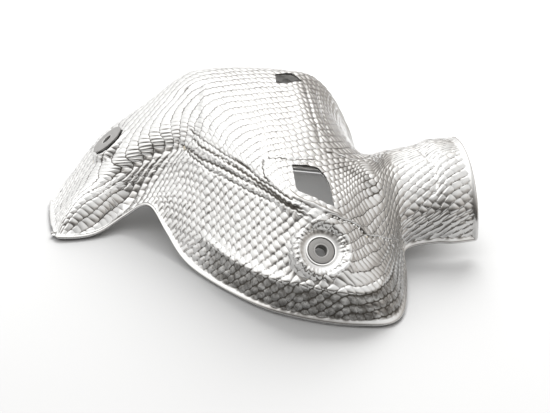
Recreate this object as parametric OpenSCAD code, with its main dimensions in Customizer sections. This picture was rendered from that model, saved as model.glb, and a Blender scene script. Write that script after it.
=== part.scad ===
// Stamped heat shield for an exhaust manifold: two embossed skins with insulation
// between them, a rolled hem all round, and three floating bolt points.
// Frame: +X along the shield towards the collar, +Y towards the engine, +Z up,
// origin under the middle of the bounding box, where the shield rests.

/* [Skins] */
// Thickness of each aluminium skin
skin_t = 0.6; // [0.4:0.1:0.7]
// Thickness of the insulation between the skins
core_t = 0.6; // [0.4:0.1:0.8]
// Air gap between neighbouring layers
layer_gap = 0.1; // [0.05:0.05:0.15]
// Length of hem folded back under the inner skin
hem_leg = 2.5; // [1.5:0.5:4]
// How much the surface rounds past the section points, 0 passes through them
softness = 0.4; // [0:0.1:1]

/* [Panels] */
// Depth of the recessed panel beside the rib of the dome
recess_depth = 2.2; // [0:0.2:4]
// Width over which the recessed panel's edge fades in
recess_fade = 8; // [5:1:16]

/* [Collar] */
// Turn of the collar's axis away from the shield's length, in degrees
collar_turn = 10; // [0:1:20]
// Inner radius of the half-tube neck
neck_r = 49; // [44:0.5:52]
// Radius of the raised band behind the mouth
band_r = 52.5; // [48:0.5:56]
// Radius at the mouth
mouth_r = 51.5; // [48:0.5:56]

/* [Bolt points] */
// Bore for the fastening bolt, a fine clearance hole for M8
bolt_bore = 8.4; // [8.2:0.1:9]
// Outer diameter of the sleeve
sleeve_d = 11; // [10.6:0.1:11.4]
// Outer diameter of the face washers at the front and rear
face_d = 18.5; // [18:0.5:20]
// Outer diameter of the wider face washer on the wing
wing_face_d = 28.5; // [26:0.5:29]
// Outer diameter of the back washers
back_d = 17; // [16:0.5:18]
// Outer diameter of the wire-mesh cushions
cushion_d = 16.5; // [15:0.5:17]
// Sideways float of each cushion each way
float_travel = 0.5; // [0.3:0.1:0.8]
// Running clearance between sleeve and cushion, on the radius
run_gap = 0.05; // [0.02:0.01:0.1]
// Length of sleeve that stands behind the back washer
sleeve_foot = 1.2; // [0.5:0.1:3]

/* [Hidden] */

skin_colour = [0.86, 0.86, 0.85];
inner_colour = [0.62, 0.61, 0.60];
pad_colour = [0.80, 0.74, 0.62];
steel_colour = [0.55, 0.55, 0.53];
ring_colour = [0.72, 0.72, 0.71];
mesh_colour = [0.45, 0.45, 0.47];

// Layer depths below the shield's outer face
core_top = skin_t + layer_gap;
core_bottom = core_top + core_t;
inner_top = core_bottom + layer_gap;
stack_t = inner_top + skin_t;
hem_r = (stack_t + layer_gap + skin_t) / 2;
// Lifts the whole shield so that the lowest point of its hem rests at z = 0
rest_lift = 0.49;

// Sections of the outer face, each from the rear rim over the top to the front rim.
// Every section has twelve points: rim, wall, wall top, top edge, two across the
// top, crest, panel head, panel middle, panel foot, flange edge, rim.
tip = [
    [-166, 57, 2], [-166, 54, 2], [-165, 51, 2], [-165, 46, 2], [-164, 40, 2], [-163, 34, 2],
    [-162, 29, 2], [-161, 24, 2], [-160, 19, 2], [-158, 14, 2], [-157, 9, 2], [-155, 5, 2]
];
flange = [
    [-146, 101, 14], [-145, 100, 19], [-144, 97, 22], [-142, 89, 25], [-139, 73, 26], [-138, 55, 26],
    [-139, 38, 26], [-141, 26, 24], [-144, 17, 20], [-148, 10, 14], [-150, 5, 8], [-152, -1, 2]
];
wing_low = [
    [-136, 104, 24], [-135, 102, 30], [-135, 92, 35], [-131, 85, 36], [-127, 70, 37], [-124, 52, 36],
    [-121, 38, 33], [-120, 30, 27], [-121, 22, 20], [-123, 15, 13], [-125, 10, 7], [-126, 3, 2]
];
wing_seat = [
    [-126, 106, 34], [-125, 104, 42], [-125, 93, 46], [-120, 80, 48], [-114, 62, 48], [-109, 49, 44],
    [-106, 43, 37], [-104, 38, 28], [-102, 33, 20], [-102, 29, 15], [-103, 24, 12], [-103, 19, 10]
];
root = [
    [-94, 109, 44], [-92, 108, 58], [-90, 101, 70], [-85, 80, 73], [-79, 59, 72], [-75, 47, 66],
    [-75, 41, 56], [-75, 35, 46], [-78, 29, 36], [-81, 23, 30], [-83, 19, 27], [-83, 14, 25]
];
shoulder = [
    [-68, 111, 22], [-66, 112, 60], [-64, 113, 88], [-60, 90, 92], [-56, 66, 89], [-54, 45, 83],
    [-54, 34, 72], [-56, 23, 59], [-58, 14, 48], [-62, 3, 36], [-66, -2, 25], [-68, -10, 14]
];
rib = [
    [-36, 113, 2], [-36, 114, 45], [-43, 117, 92], [-41, 93, 98], [-38, 64, 95], [-35, 33, 88],
    [-34, 15, 80], [-36, 1, 67], [-39, -10, 51], [-42, -22, 35], [-45, -33, 20], [-49, -41, 2]
];
mid = [
    [4, 113, 2], [4, 114, 45], [-2, 117, 92], [-1, 93, 99], [2, 50, 95], [4, -2, 87],
    [5, -34, 79], [5, -44, 67], [4, -60, 51], [3, -77, 34], [1, -88, 22], [-2, -89, 2]
];
window = [
    [29, 112, 2], [29, 113, 45], [22, 116, 91], [21, 88, 98], [24, 40, 93], [27, -19, 84],
    [29, -68, 72], [31, -76, 61], [32, -87, 48], [33, -98, 35], [33, -106, 24], [32, -107, 2]
];
crease = [
    [84, 99, 2], [75, 101, 46], [56, 107, 85], [39, 89, 95], [42, 30, 90], [48, -12, 80],
    [58, -63, 67], [62, -79, 56], [66, -93, 44], [68, -107, 31], [70, -113, 22], [71, -116, 2]
];
corner = [
    [86, 83, 3], [77, 77, 38], [73, 61, 52], [73, 39, 61], [75, 19, 66], [76, 1, 69],
    [78, -17, 68], [81, -37, 59], [79, -68, 45], [85, -86, 35], [94, -100, 21], [102, -110, 2]
];
notch = [
    [91, 60, 12], [88, 53, 33], [87, 45, 46], [86, 33, 56], [87, 19, 63], [87, 3, 66],
    [89, -13, 65], [93, -31, 58], [96, -43, 43], [102, -44, 30], [107, -42, 15], [110, -51, 3]
];

// A section of the half-tube neck, at a distance back from the mouth
mouth_centre = [156, 31];
tube_sweep = 92;
section_points = 12;
function tube_section(back, r, centre_z) = [
    for (k = [0:section_points - 1])
        let (a = -tube_sweep + 2 * tube_sweep * k / (section_points - 1),
             side = r * sin(a))
        [mouth_centre[0] - back * cos(collar_turn) + side * sin(collar_turn),
         mouth_centre[1] - back * sin(collar_turn) - side * cos(collar_turn),
         centre_z + r * cos(a)]
];
net = [
    tip, flange, wing_low, wing_seat, root, shoulder, rib, mid, window, crease, corner, notch,
    tube_section(56, neck_r, 11), tube_section(30, neck_r, 14),
    tube_section(19, band_r, 14.5), tube_section(0, mouth_r, 14.5)
];

// Mesh cells in each stretch between sections, and between the points of a section
u_cells = [2, 2, 3, 4, 3, 3, 4, 4, 6, 4, 3, 2, 2, 2, 2];
v_cells = [6, 3, 4, 3, 3, 3, 2, 3, 3, 3, 2];
function stations(cells) = [
    for (i = [0:len(cells) - 1]) for (k = [0:cells[i] - 1]) i + k / cells[i],
    len(cells)
];
u_at = stations(u_cells);
v_at = stations(v_cells);
nu = len(u_at);
nv = len(v_at);

// Cubic weights of the four points round a stretch, between a curve that passes
// through the points and the smoother one that only follows them
function weights(t) =
    let (s = softness, q = 1 - t)
    [(1 - s) * (-t * q * q / 2) + s * q * q * q / 6,
     (1 - s) * (1 - 2.5 * t * t + 1.5 * t * t * t) + s * (4 - 6 * t * t + 3 * t * t * t) / 6,
     (1 - s) * (1 - 2.5 * q * q + 1.5 * q * q * q) + s * (4 - 6 * q * q + 3 * q * q * q) / 6,
     (1 - s) * (-q * t * t / 2) + s * t * t * t / 6];
// A list with one point added in line past each end
function run_on(p) = concat(
    [2 * p[0] - p[1]], p, [2 * p[len(p) - 1] - p[len(p) - 2]]);
// The curve through a run-on list at a station
function along(p, x) =
    let (i = min(floor(x), len(p) - 4), w = weights(x - i))
    w[0] * p[i] + w[1] * p[i + 1] + w[2] * p[i + 2] + w[3] * p[i + 3];

// Bolt seats: centre and outward direction of each flat, then the diameter of the
// face washer and the height of its underside. The wide one lies over the clamp ring.
sunk_face = -0.2;
raised_face = 1;
front_seat = [[46, -89, 45], [0.2, -0.62, 0.76], face_d, sunk_face];
wing_bolt_seat = [[-120, 76, 46.5], [-0.62, 0, 0.785], wing_face_d, raised_face];
rear_seat = [[14, 113.5, 24], [0, 1, 0], face_d, sunk_face];
seats = [front_seat, wing_bolt_seat, rear_seat];
seat_flat_r = 19;
seat_fade_r = 24;
seat_reach = 14;

function smooth(x) = let (t = max(0, min(1, x))) t * t * (3 - 2 * t);
function unit(a) = a / norm(a);
// Presses a point of the face onto a flat seat
function pressed(p, seat) =
    let (n = unit(seat[1]), d = p - seat[0], h = d * n, r = norm(d - h * n),
         w = abs(h) < seat_reach ? 1 - smooth((r - seat_flat_r) / (seat_fade_r - seat_flat_r)) : 0)
    p - w * h * n;
// The recessed panel beside the rib, which fades out gently towards the wing
recess_right = -40;
recess_rear = 84;
recess_front = 26;
recess_left = -84;
recess_left_fade = 24;
function sunk(p) =
    let (w = smooth((recess_right - p[0]) / recess_fade) * smooth((recess_rear - p[1]) / recess_fade)
           * smooth((p[1] - recess_front) / recess_fade)
           * smooth((p[0] - recess_left) / recess_left_fade))
    p - [0, 0, recess_depth * w];
function shaped(p) = pressed(pressed(pressed(sunk(p), seats[0]), seats[1]), seats[2]);

// The outer face as a grid of points, then its outward directions
across = [for (u = u_at) run_on([for (j = [0:section_points - 1])
    along(run_on([for (s = net) s[j]]), u)])];
face = [for (c = across) [for (v = v_at) shaped(along(c, v)) + [0, 0, rest_lift]]];
out = [for (i = [0:nu - 1]) [for (j = [0:nv - 1])
    unit(cross(face[i][min(j + 1, nv - 1)] - face[i][max(j - 1, 0)],
               face[min(i + 1, nu - 1)][j] - face[max(i - 1, 0)][j]))]];
function layer(i, j, depth) = face[i][j] - depth * out[i][j];

// The hem: rows that roll round the edge of the stack and fold back under it
hem_turns = [60, 120, 180];
hem_rows = len(hem_turns) + 1;
function clamped(i, n) = max(0, min(n - 1, i));
function inward(i, n) = max(1, min(n - 2, i));
function over(i, n) = i < 0 ? -i : (i > n - 1 ? i - n + 1 : 0);
function hem_out(i, j) =
    let (a = clamped(i, nu), b = clamped(j, nv),
         du = i < 0 ? face[0][b] - face[1][b] : face[nu - 1][b] - face[nu - 2][b],
         dv = j < 0 ? face[a][0] - face[a][1] : face[a][nv - 1] - face[a][nv - 2],
         d = over(i, nu) * unit(du) + over(j, nv) * unit(dv), n = out[a][b])
    unit(d - (d * n) * n);
function hemmed(i, j, depth) =
    let (k = max(over(i, nu), over(j, nv)), a = clamped(i, nu), b = clamped(j, nv))
    k == 0 ? layer(i, j, depth)
    : k < hem_rows
        ? layer(a, b, hem_r) + (hem_r - depth) * (sin(hem_turns[k - 1]) * hem_out(i, j)
            + cos(hem_turns[k - 1]) * out[a][b])
    : let (p = layer(a, b, 2 * hem_r - depth),
           e = layer(inward(i, nu), inward(j, nv), 2 * hem_r - depth))
        p + min(1, hem_leg / norm(e - p)) * (e - p);

// A closed sheet between two grids of points of the same size
module sheet(top, bottom) {
    rows = len(top);
    cols = len(top[0]);
    count = rows * cols;
    points = concat([for (r = top) for (p = r) p], [for (r = bottom) for (p = r) p]);
    edge = concat(
        [for (i = [0:rows - 2]) i * cols],
        [for (j = [0:cols - 2]) (rows - 1) * cols + j],
        [for (i = [rows - 1:-1:1]) i * cols + cols - 1],
        [for (j = [cols - 1:-1:1]) j]);
    faces = concat(
        [for (i = [0:rows - 2]) for (j = [0:cols - 2]) for (f = [0, 1])
            let (a = i * cols + j, b = a + cols)
            f == 0 ? [a, b, b + 1] : [a, b + 1, a + 1]],
        [for (i = [0:rows - 2]) for (j = [0:cols - 2]) for (f = [0, 1])
            let (a = count + i * cols + j, b = a + cols)
            f == 0 ? [a, b + 1, b] : [a, a + 1, b + 1]],
        [for (k = [0:len(edge) - 1]) for (f = [0, 1])
            let (a = edge[k], b = edge[(k + 1) % len(edge)])
            f == 0 ? [a, a + count, b + count] : [a, b + count, b]]);
    polyhedron(points, faces);
}

// Cut-outs in plan: the window beside the collar and the slot in the dome's top
window_cut = [
    [26, -29], [45, -27], [50, -34], [53, -42], [56, -64], [49, -63], [40, -59], [32, -57], [29, -54]
];
slot_cut = [[14, 93], [24, 98], [28, 96], [36, 83], [28, 79], [24, 76], [15, 76]];
cut_low = 50;
cut_high = 110;
module plan_cut(outline, margin) {
    translate([0, 0, cut_low])
        linear_extrude(cut_high - cut_low)
            offset(delta = margin)
                polygon(outline);
}
module at_seat(seat) {
    n = unit(seat[1]);
    translate(seat[0] + [0, 0, rest_lift])
        rotate([0, acos(n[2]), atan2(n[1], n[0])])
            children();
}
// Hole through a seat for the clamp ring, which leaves the washer free to float
float_spare = 0.1;
ring_wall = 0.4;
ring_inner_r = face_d / 2 + float_travel + float_spare;
ring_bore_r = ring_inner_r + ring_wall + layer_gap;
lip_width = 0.7;
ring_lip_h = 0.9;
cut_reach = 6;
cut_fn = 48;
module seat_cuts(hole_r) {
    for (seat = seats)
        at_seat(seat)
            translate([0, 0, -cut_reach])
                cylinder(h = 2 * cut_reach, r = hole_r, $fn = cut_fn);
}

module outer_skin() {
    color(skin_colour)
        difference() {
            sheet(
                [for (i = [-hem_rows:nu - 1 + hem_rows]) [for (j = [-hem_rows:nv - 1 + hem_rows])
                    hemmed(i, j, 0)]],
                [for (i = [-hem_rows:nu - 1 + hem_rows]) [for (j = [-hem_rows:nv - 1 + hem_rows])
                    hemmed(i, j, skin_t)]]);
            plan_cut(window_cut, 0);
            plan_cut(slot_cut, 0);
            seat_cuts(ring_bore_r);
        }
}

module inner_skin() {
    color(inner_colour)
        difference() {
            sheet(
                [for (i = [0:nu - 1]) [for (j = [0:nv - 1]) layer(i, j, inner_top)]],
                [for (i = [0:nu - 1]) [for (j = [0:nv - 1]) layer(i, j, stack_t)]]);
            plan_cut(window_cut, 0);
            plan_cut(slot_cut, 0);
            seat_cuts(ring_bore_r);
        }
}

// An insulation pad over a block of mesh cells, kept back from the cut-outs
pad_margin = 3;
pad_hole_r = 14;
module pad(u_range, v_range) {
    color(pad_colour)
        difference() {
            sheet(
                [for (i = u_range) [for (j = v_range) layer(i, j, core_top)]],
                [for (i = u_range) [for (j = v_range) layer(i, j, core_bottom)]]);
            plan_cut(window_cut, pad_margin);
            plan_cut(slot_cut, pad_margin);
            seat_cuts(pad_hole_r);
        }
}
wing_end = 14;
collar_start = 38;
skirt_start = 22;
module wing_pad() pad([1:wing_end - 1], [1:nv - 2]);
module dome_pad() pad([wing_end:collar_start - 1], [1:skirt_start - 1]);
module skirt_pad() pad([wing_end:collar_start - 1], [skirt_start:nv - 2]);
module collar_pad() pad([collar_start:nu - 2], [1:nv - 2]);

// Bolt point: heights are measured out of the seat along its direction
shelf_h = 0.8;
shelf_depth = 3.9;
shelf_room = 1;
shelf_bore_r = sleeve_d / 2 + float_travel + shelf_room;
face_t = 1.2;
back_t = 1.2;
back_drop = 4.1;
cushion_low = -3;
cushion_room = 0.1;
round_fn = 96;
module clamp_ring(seat) {
    inner = ring_inner_r;
    wall_r = ring_inner_r + ring_wall;
    lip_r = wall_r + lip_width;
    color(ring_colour)
        at_seat(seat)
            rotate_extrude($fn = round_fn)
                polygon([
                    [inner, ring_lip_h], [lip_r, ring_lip_h], [lip_r, layer_gap], [wall_r, layer_gap],
                    [wall_r, -stack_t - layer_gap], [lip_r, -stack_t - layer_gap],
                    [lip_r, -stack_t - layer_gap - shelf_h], [wall_r, -stack_t - layer_gap - shelf_h],
                    [wall_r, -shelf_depth], [shelf_bore_r, -shelf_depth],
                    [shelf_bore_r, shelf_h - shelf_depth], [inner, shelf_h - shelf_depth]
                ]);
}
module ring_of(seat, low, high, bore_r, outer_r) {
    at_seat(seat)
        difference() {
            translate([0, 0, low])
                cylinder(h = high - low, r = outer_r, $fn = round_fn);
            translate([0, 0, low - 1])
                cylinder(h = high - low + 2, r = bore_r, $fn = round_fn);
        }
}
module cushion(seat)
    color(mesh_colour)
        ring_of(seat, cushion_low, seat[3] - cushion_room, sleeve_d / 2 + run_gap, cushion_d / 2);
module face_washer(seat)
    color(steel_colour)
        ring_of(seat, seat[3], seat[3] + face_t, sleeve_d / 2, seat[2] / 2);
module back_washer(seat)
    color(steel_colour)
        ring_of(seat, -back_drop - back_t, -back_drop, sleeve_d / 2, back_d / 2);
module sleeve(seat)
    color(steel_colour)
        ring_of(seat, -back_drop - back_t - sleeve_foot, seat[3] + face_t, bolt_bore / 2,
            sleeve_d / 2);

module front_clamp_ring() clamp_ring(front_seat);
module front_cushion() cushion(front_seat);
module front_face_washer() face_washer(front_seat);
module front_sleeve() sleeve(front_seat);
module front_back_washer() back_washer(front_seat);
module wing_clamp_ring() clamp_ring(wing_bolt_seat);
module wing_cushion() cushion(wing_bolt_seat);
module wing_face_washer() face_washer(wing_bolt_seat);
module wing_sleeve() sleeve(wing_bolt_seat);
module wing_back_washer() back_washer(wing_bolt_seat);
module rear_clamp_ring() clamp_ring(rear_seat);
module rear_cushion() cushion(rear_seat);
module rear_face_washer() face_washer(rear_seat);
module rear_sleeve() sleeve(rear_seat);
module rear_back_washer() back_washer(rear_seat);

outer_skin();
inner_skin();
wing_pad();
dome_pad();
skirt_pad();
collar_pad();
front_clamp_ring();
front_cushion();
front_face_washer();
front_sleeve();
front_back_washer();
wing_clamp_ring();
wing_cushion();
wing_face_washer();
wing_sleeve();
wing_back_washer();
rear_clamp_ring();
rear_cushion();
rear_face_washer();
rear_sleeve();
rear_back_washer();
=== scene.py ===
"""Looks of an embossed double-skin exhaust heat shield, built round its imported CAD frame.

The skins, their insulation and the rolled hem are worked out from the same sections as the CAD
model and pressed with a fine emboss. The bolt points get turned, knitted and stamped detail.
"""
import logging
import math
from dataclasses import dataclass, field
from enum import Enum
from typing import Callable

import bpy
import numpy as np
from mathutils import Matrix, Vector
from mathutils.geometry import delaunay_2d_cdt


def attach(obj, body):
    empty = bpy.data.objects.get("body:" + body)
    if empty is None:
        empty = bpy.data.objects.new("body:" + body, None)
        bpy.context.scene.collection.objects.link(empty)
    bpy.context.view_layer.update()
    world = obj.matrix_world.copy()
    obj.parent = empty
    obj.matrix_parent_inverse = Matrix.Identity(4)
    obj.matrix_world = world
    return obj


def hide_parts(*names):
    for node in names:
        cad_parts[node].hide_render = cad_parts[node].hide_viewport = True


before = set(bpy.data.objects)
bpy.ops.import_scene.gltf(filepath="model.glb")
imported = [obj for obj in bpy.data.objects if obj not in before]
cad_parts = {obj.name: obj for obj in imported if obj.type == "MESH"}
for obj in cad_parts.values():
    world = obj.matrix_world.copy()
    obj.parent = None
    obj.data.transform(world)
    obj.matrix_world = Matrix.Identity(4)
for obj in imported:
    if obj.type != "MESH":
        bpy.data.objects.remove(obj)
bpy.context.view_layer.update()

MM = 0.001
log = logging.getLogger("heat_shield")

Array = np.ndarray
Point = tuple[float, float, float]


class Body(str, Enum):
    """The CAD bodies that pieces ride on."""

    SHIELD = "shield"
    FRONT_FLOAT = "front_float"
    FRONT_BUSH = "front_bush"
    WING_FLOAT = "wing_float"
    WING_BUSH = "wing_bush"
    REAR_FLOAT = "rear_float"
    REAR_BUSH = "rear_bush"


# ---------------------------------------------------------------------------------------------
# Small helpers
# ---------------------------------------------------------------------------------------------
def smooth(x: Array) -> Array:
    """Rise from 0 to 1 as x goes from 0 to 1, level at both ends."""
    t = np.clip(x, 0.0, 1.0)
    return t * t * (3.0 - 2.0 * t)


def unit(a: Array) -> Array:
    """Vectors of length one along the last axis, with zero vectors left as they are."""
    a = np.asarray(a, float)
    return a / np.maximum(np.linalg.norm(a, axis=-1, keepdims=True), 1e-12)


def distance_to_path(points: Array, path: Array) -> tuple[Array, Array]:
    """Distance from points to an open path, and how far along it the nearest place lies.

    Args:
        points: Array of points, its last axis holding the coordinates.
        path: Corner points of the path, with as many coordinates.

    Returns:
        The distances, and the place along the path from 0 at its start to 1 at its end.
    """
    best = np.full(points.shape[:-1], np.inf)
    place = np.zeros(points.shape[:-1])
    lengths = np.linalg.norm(np.diff(path, axis=0), axis=1)
    start = np.concatenate([[0.0], np.cumsum(lengths)])
    for a, b, length, before in zip(path[:-1], path[1:], lengths, start[:-1]):
        t = np.clip(((points - a) @ (b - a)) / length**2, 0.0, 1.0)
        d = np.linalg.norm(points - a - t[..., None] * (b - a), axis=-1)
        nearer = d < best
        best = np.where(nearer, d, best)
        place = np.where(nearer, (before + t * length) / start[-1], place)
    return best, place


def mesh_object(name: str, points_mm: Array, faces: list, material: bpy.types.Material) -> bpy.types.Object:
    """A new mesh object at the origin, smooth shaded, with one material.

    Args:
        name: Name of the object and its mesh.
        points_mm: Points of the mesh in millimetres.
        faces: Lists of point numbers, one for each face.
        material: The material of every face.

    Returns:
        The object, linked into the scene.
    """
    mesh = bpy.data.meshes.new(name)
    mesh.from_pydata((np.asarray(points_mm, float) * MM).tolist(), [], faces)
    mesh.materials.append(material)
    mesh.polygons.foreach_set("use_smooth", np.ones(len(mesh.polygons), bool))
    mesh.update()
    piece = bpy.data.objects.new(name, mesh)
    bpy.context.scene.collection.objects.link(piece)
    return piece


def set_attribute(mesh: bpy.types.Mesh, name: str, values: Array) -> None:
    """Store one number or one vector for each point of a mesh.

    Args:
        mesh: The mesh.
        name: Name of the attribute.
        values: One row for each point.
    """
    values = np.asarray(values, np.float32)
    kind, key = ("FLOAT_VECTOR", "vector") if values.ndim == 2 else ("FLOAT", "value")
    attribute = mesh.attributes.new(name, kind, "POINT")
    attribute.data.foreach_set(key, values.ravel())


def hand_over(piece: bpy.types.Object, body: Body, nodes: tuple[str, ...] = ()) -> None:
    """Tell the frame what a finished piece rides on and stands for.

    Args:
        piece: The finished piece.
        body: The body that it moves with.
        nodes: CAD nodes that it stands for.
    """
    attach(piece, body.value)
    if nodes:
        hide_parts(*nodes)
    log.info("%s: %d faces on %s", piece.name, len(piece.data.polygons), body.value)


class TreeWriter:
    """Short spellings for adding nodes to a tree and joining them."""

    def __init__(self, tree: bpy.types.NodeTree) -> None:
        """Take the tree to write in."""
        self.tree = tree

    def node(self, kind: str, **settings: object) -> bpy.types.Node:
        """Add a node of a kind and set its properties."""
        made = self.tree.nodes.new(kind)
        for key, value in settings.items():
            setattr(made, key, value)
        return made

    def put(self, socket: bpy.types.NodeSocket, value: object) -> None:
        """Join a socket to another one, or set its value."""
        if isinstance(value, bpy.types.NodeSocket):
            self.tree.links.new(value, socket)
        elif value is not None:
            socket.default_value = value

    def math(self, operation: str, *values: object) -> bpy.types.NodeSocket:
        """The result of a Math node."""
        made = self.node("ShaderNodeMath", operation=operation)
        for socket, value in zip(made.inputs, values):
            self.put(socket, value)
        return made.outputs[0]

    def vector(self, operation: str, *values: object) -> bpy.types.NodeSocket:
        """The vector result of a Vector Math node, with scale given as the fourth value."""
        made = self.node("ShaderNodeVectorMath", operation=operation)
        for socket, value in zip(made.inputs, values):
            self.put(socket, value)
        return made.outputs[0]

    def combine(self, x: object, y: object, z: object) -> bpy.types.NodeSocket:
        """A vector from three numbers."""
        made = self.node("ShaderNodeCombineXYZ")
        for socket, value in zip(made.inputs, (x, y, z)):
            self.put(socket, value)
        return made.outputs[0]

    def noise(
        self, vector: object, scale: object, detail: float = 2.0, roughness: float = 0.5
    ) -> bpy.types.NodeSocket:
        """The value of a Noise Texture, from 0 to 1."""
        made = self.node("ShaderNodeTexNoise")
        self.put(made.inputs["Vector"], vector)
        self.put(made.inputs["Scale"], scale)
        made.inputs["Detail"].default_value = detail
        made.inputs["Roughness"].default_value = roughness
        return made.outputs[0]

    def ramp(
        self, value: object, low: float, high: float, to_low: float = 0.0, to_high: float = 1.0
    ) -> bpy.types.NodeSocket:
        """A value carried smoothly from one range to another and held at its ends."""
        made = self.node("ShaderNodeMapRange", interpolation_type="SMOOTHSTEP")
        bounds = {"From Min": low, "From Max": high, "To Min": to_low, "To Max": to_high}
        for key, number in {"Value": value, **bounds}.items():
            self.put(made.inputs[key], number)
        return made.outputs[0]

    def mix(self, share: object, a: object, b: object) -> bpy.types.NodeSocket:
        """A colour between two others."""
        made = self.node("ShaderNodeMix", data_type="RGBA")
        for key, value in ((0, share), (6, a), (7, b)):
            self.put(made.inputs[key], value)
        return made.outputs[2]


def set_inputs(modifier: bpy.types.NodesModifier, values: dict[str, object]) -> None:
    """Set a Geometry Nodes modifier's inputs by the names that its tree shows.

    Args:
        modifier: The modifier, with its tree in place.
        values: Each input's name and value.
    """
    for item in modifier.node_group.interface.items_tree:
        if item.item_type == "SOCKET" and item.in_out == "INPUT" and item.name in values:
            modifier[item.identifier] = values[item.name]


def worked_mesh(
    piece: bpy.types.Object, tree: bpy.types.NodeTree, values: dict[str, object]
) -> bpy.types.Mesh:
    """The plain mesh that a Geometry Nodes tree makes of a piece.

    Args:
        piece: The object that the tree starts from.
        tree: The tree.
        values: Its named inputs.

    Returns:
        A mesh of its own, with no modifier and no instance in it.
    """
    modifier = piece.modifiers.new("work", "NODES")
    modifier.node_group = tree
    set_inputs(modifier, values)
    graph = bpy.context.evaluated_depsgraph_get()
    graph.update()
    mesh = bpy.data.meshes.new_from_object(piece.evaluated_get(graph), depsgraph=graph)
    piece.modifiers.remove(modifier)
    return mesh


def new_tree(
    name: str, inputs: dict[str, tuple[str, object]]
) -> tuple[bpy.types.NodeTree, TreeWriter, bpy.types.Node, bpy.types.Node]:
    """An empty Geometry Nodes tree with named inputs.

    Args:
        name: Name of the tree.
        inputs: For each input its socket type and default value.

    Returns:
        The tree, a writer for it, its input node and its output node.
    """
    tree = bpy.data.node_groups.new(name, "GeometryNodeTree")
    tree.interface.new_socket("Geometry", in_out="INPUT", socket_type="NodeSocketGeometry")
    for key, (kind, default) in inputs.items():
        socket = tree.interface.new_socket(key, in_out="INPUT", socket_type=kind)
        if default is not None:
            socket.default_value = default
    tree.interface.new_socket("Geometry", in_out="OUTPUT", socket_type="NodeSocketGeometry")
    return tree, TreeWriter(tree), tree.nodes.new("NodeGroupInput"), tree.nodes.new("NodeGroupOutput")


def close_tree(
    w: TreeWriter, geometry: bpy.types.NodeSocket, given: bpy.types.Node, out: bpy.types.Node
) -> None:
    """End a tree in Realize Instances and Set Material.

    Args:
        w: The tree's writer.
        geometry: The geometry so far.
        given: The tree's input node, which has an input named Material.
        out: The tree's output node.
    """
    whole = w.node("GeometryNodeRealizeInstances")
    w.put(whole.inputs[0], geometry)
    dressed = w.node("GeometryNodeSetMaterial")
    w.put(dressed.inputs["Geometry"], whole.outputs[0])
    w.put(dressed.inputs["Material"], given.outputs["Material"])
    w.put(out.inputs[0], dressed.outputs[0])


# ---------------------------------------------------------------------------------------------
# The pressed surface
# ---------------------------------------------------------------------------------------------
@dataclass(frozen=True)
class Seat:
    """A flat pressed for a bolt point: its centre in millimetres and its outward direction."""

    centre: Point
    outward: Point

    @property
    def normal(self) -> Array:
        """The outward direction, of length one."""
        return unit(np.array(self.outward, float))

    @property
    def side(self) -> Array:
        """A direction that lies level in the seat."""
        n = self.normal
        return unit(np.array([-n[1], n[0], 0.0]))


FRONT_SEAT = Seat((46, -89, 45.49), (0.2, -0.62, 0.76))
WING_SEAT = Seat((-120, 76, 46.99), (-0.62, 0, 0.785))
REAR_SEAT = Seat((14, 113.5, 24.49), (0, 1, 0))

# Sections of the outer face, each from the rear rim over the top to the front rim
TIP = (
    (-166, 57, 2), (-166, 54, 2), (-165, 51, 2), (-165, 46, 2), (-164, 40, 2), (-163, 34, 2),
    (-162, 29, 2), (-161, 24, 2), (-160, 19, 2), (-158, 14, 2), (-157, 9, 2), (-155, 5, 2),
)
FLANGE = (
    (-146, 101, 14), (-145, 100, 19), (-144, 97, 22), (-142, 89, 25), (-139, 73, 26), (-138, 55, 26),
    (-139, 38, 26), (-141, 26, 24), (-144, 17, 20), (-148, 10, 14), (-150, 5, 8), (-152, -1, 2),
)
WING_LOW = (
    (-136, 104, 24), (-135, 102, 30), (-135, 92, 35), (-131, 85, 36), (-127, 70, 37), (-124, 52, 36),
    (-121, 38, 33), (-120, 30, 27), (-121, 22, 20), (-123, 15, 13), (-125, 10, 7), (-126, 3, 2),
)
WING_HIGH = (
    (-126, 106, 34), (-125, 104, 42), (-125, 93, 46), (-120, 80, 48), (-114, 62, 48), (-109, 49, 44),
    (-106, 43, 37), (-104, 38, 28), (-102, 33, 20), (-102, 29, 15), (-103, 24, 12), (-103, 19, 10),
)
ROOT = (
    (-94, 109, 44), (-92, 108, 58), (-90, 101, 70), (-85, 80, 73), (-79, 59, 72), (-75, 47, 66),
    (-75, 41, 56), (-75, 35, 46), (-78, 29, 36), (-81, 23, 30), (-83, 19, 27), (-83, 14, 25),
)
SHOULDER = (
    (-68, 111, 22), (-66, 112, 60), (-64, 113, 88), (-60, 90, 92), (-56, 66, 89), (-54, 45, 83),
    (-54, 34, 72), (-56, 23, 59), (-58, 14, 48), (-62, 3, 36), (-66, -2, 25), (-68, -10, 14),
)
RIB = (
    (-36, 113, 2), (-36, 114, 45), (-43, 117, 92), (-41, 93, 98), (-38, 64, 95), (-35, 33, 88),
    (-34, 15, 80), (-36, 1, 67), (-39, -10, 51), (-42, -22, 35), (-45, -33, 20), (-49, -41, 2),
)
MIDDLE = (
    (4, 113, 2), (4, 114, 45), (-2, 117, 92), (-1, 93, 99), (2, 50, 95), (4, -2, 87),
    (5, -34, 79), (5, -44, 67), (4, -60, 51), (3, -77, 34), (1, -88, 22), (-2, -89, 2),
)
WINDOW = (
    (29, 112, 2), (29, 113, 45), (22, 116, 91), (21, 88, 98), (24, 40, 93), (27, -19, 84),
    (29, -68, 72), (31, -76, 61), (32, -87, 48), (33, -98, 35), (33, -106, 24), (32, -107, 2),
)
CREASE = (
    (84, 99, 2), (75, 101, 46), (56, 107, 85), (39, 89, 95), (42, 30, 90), (48, -12, 80),
    (58, -63, 67), (62, -79, 56), (66, -93, 44), (68, -107, 31), (70, -113, 22), (71, -116, 2),
)
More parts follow.
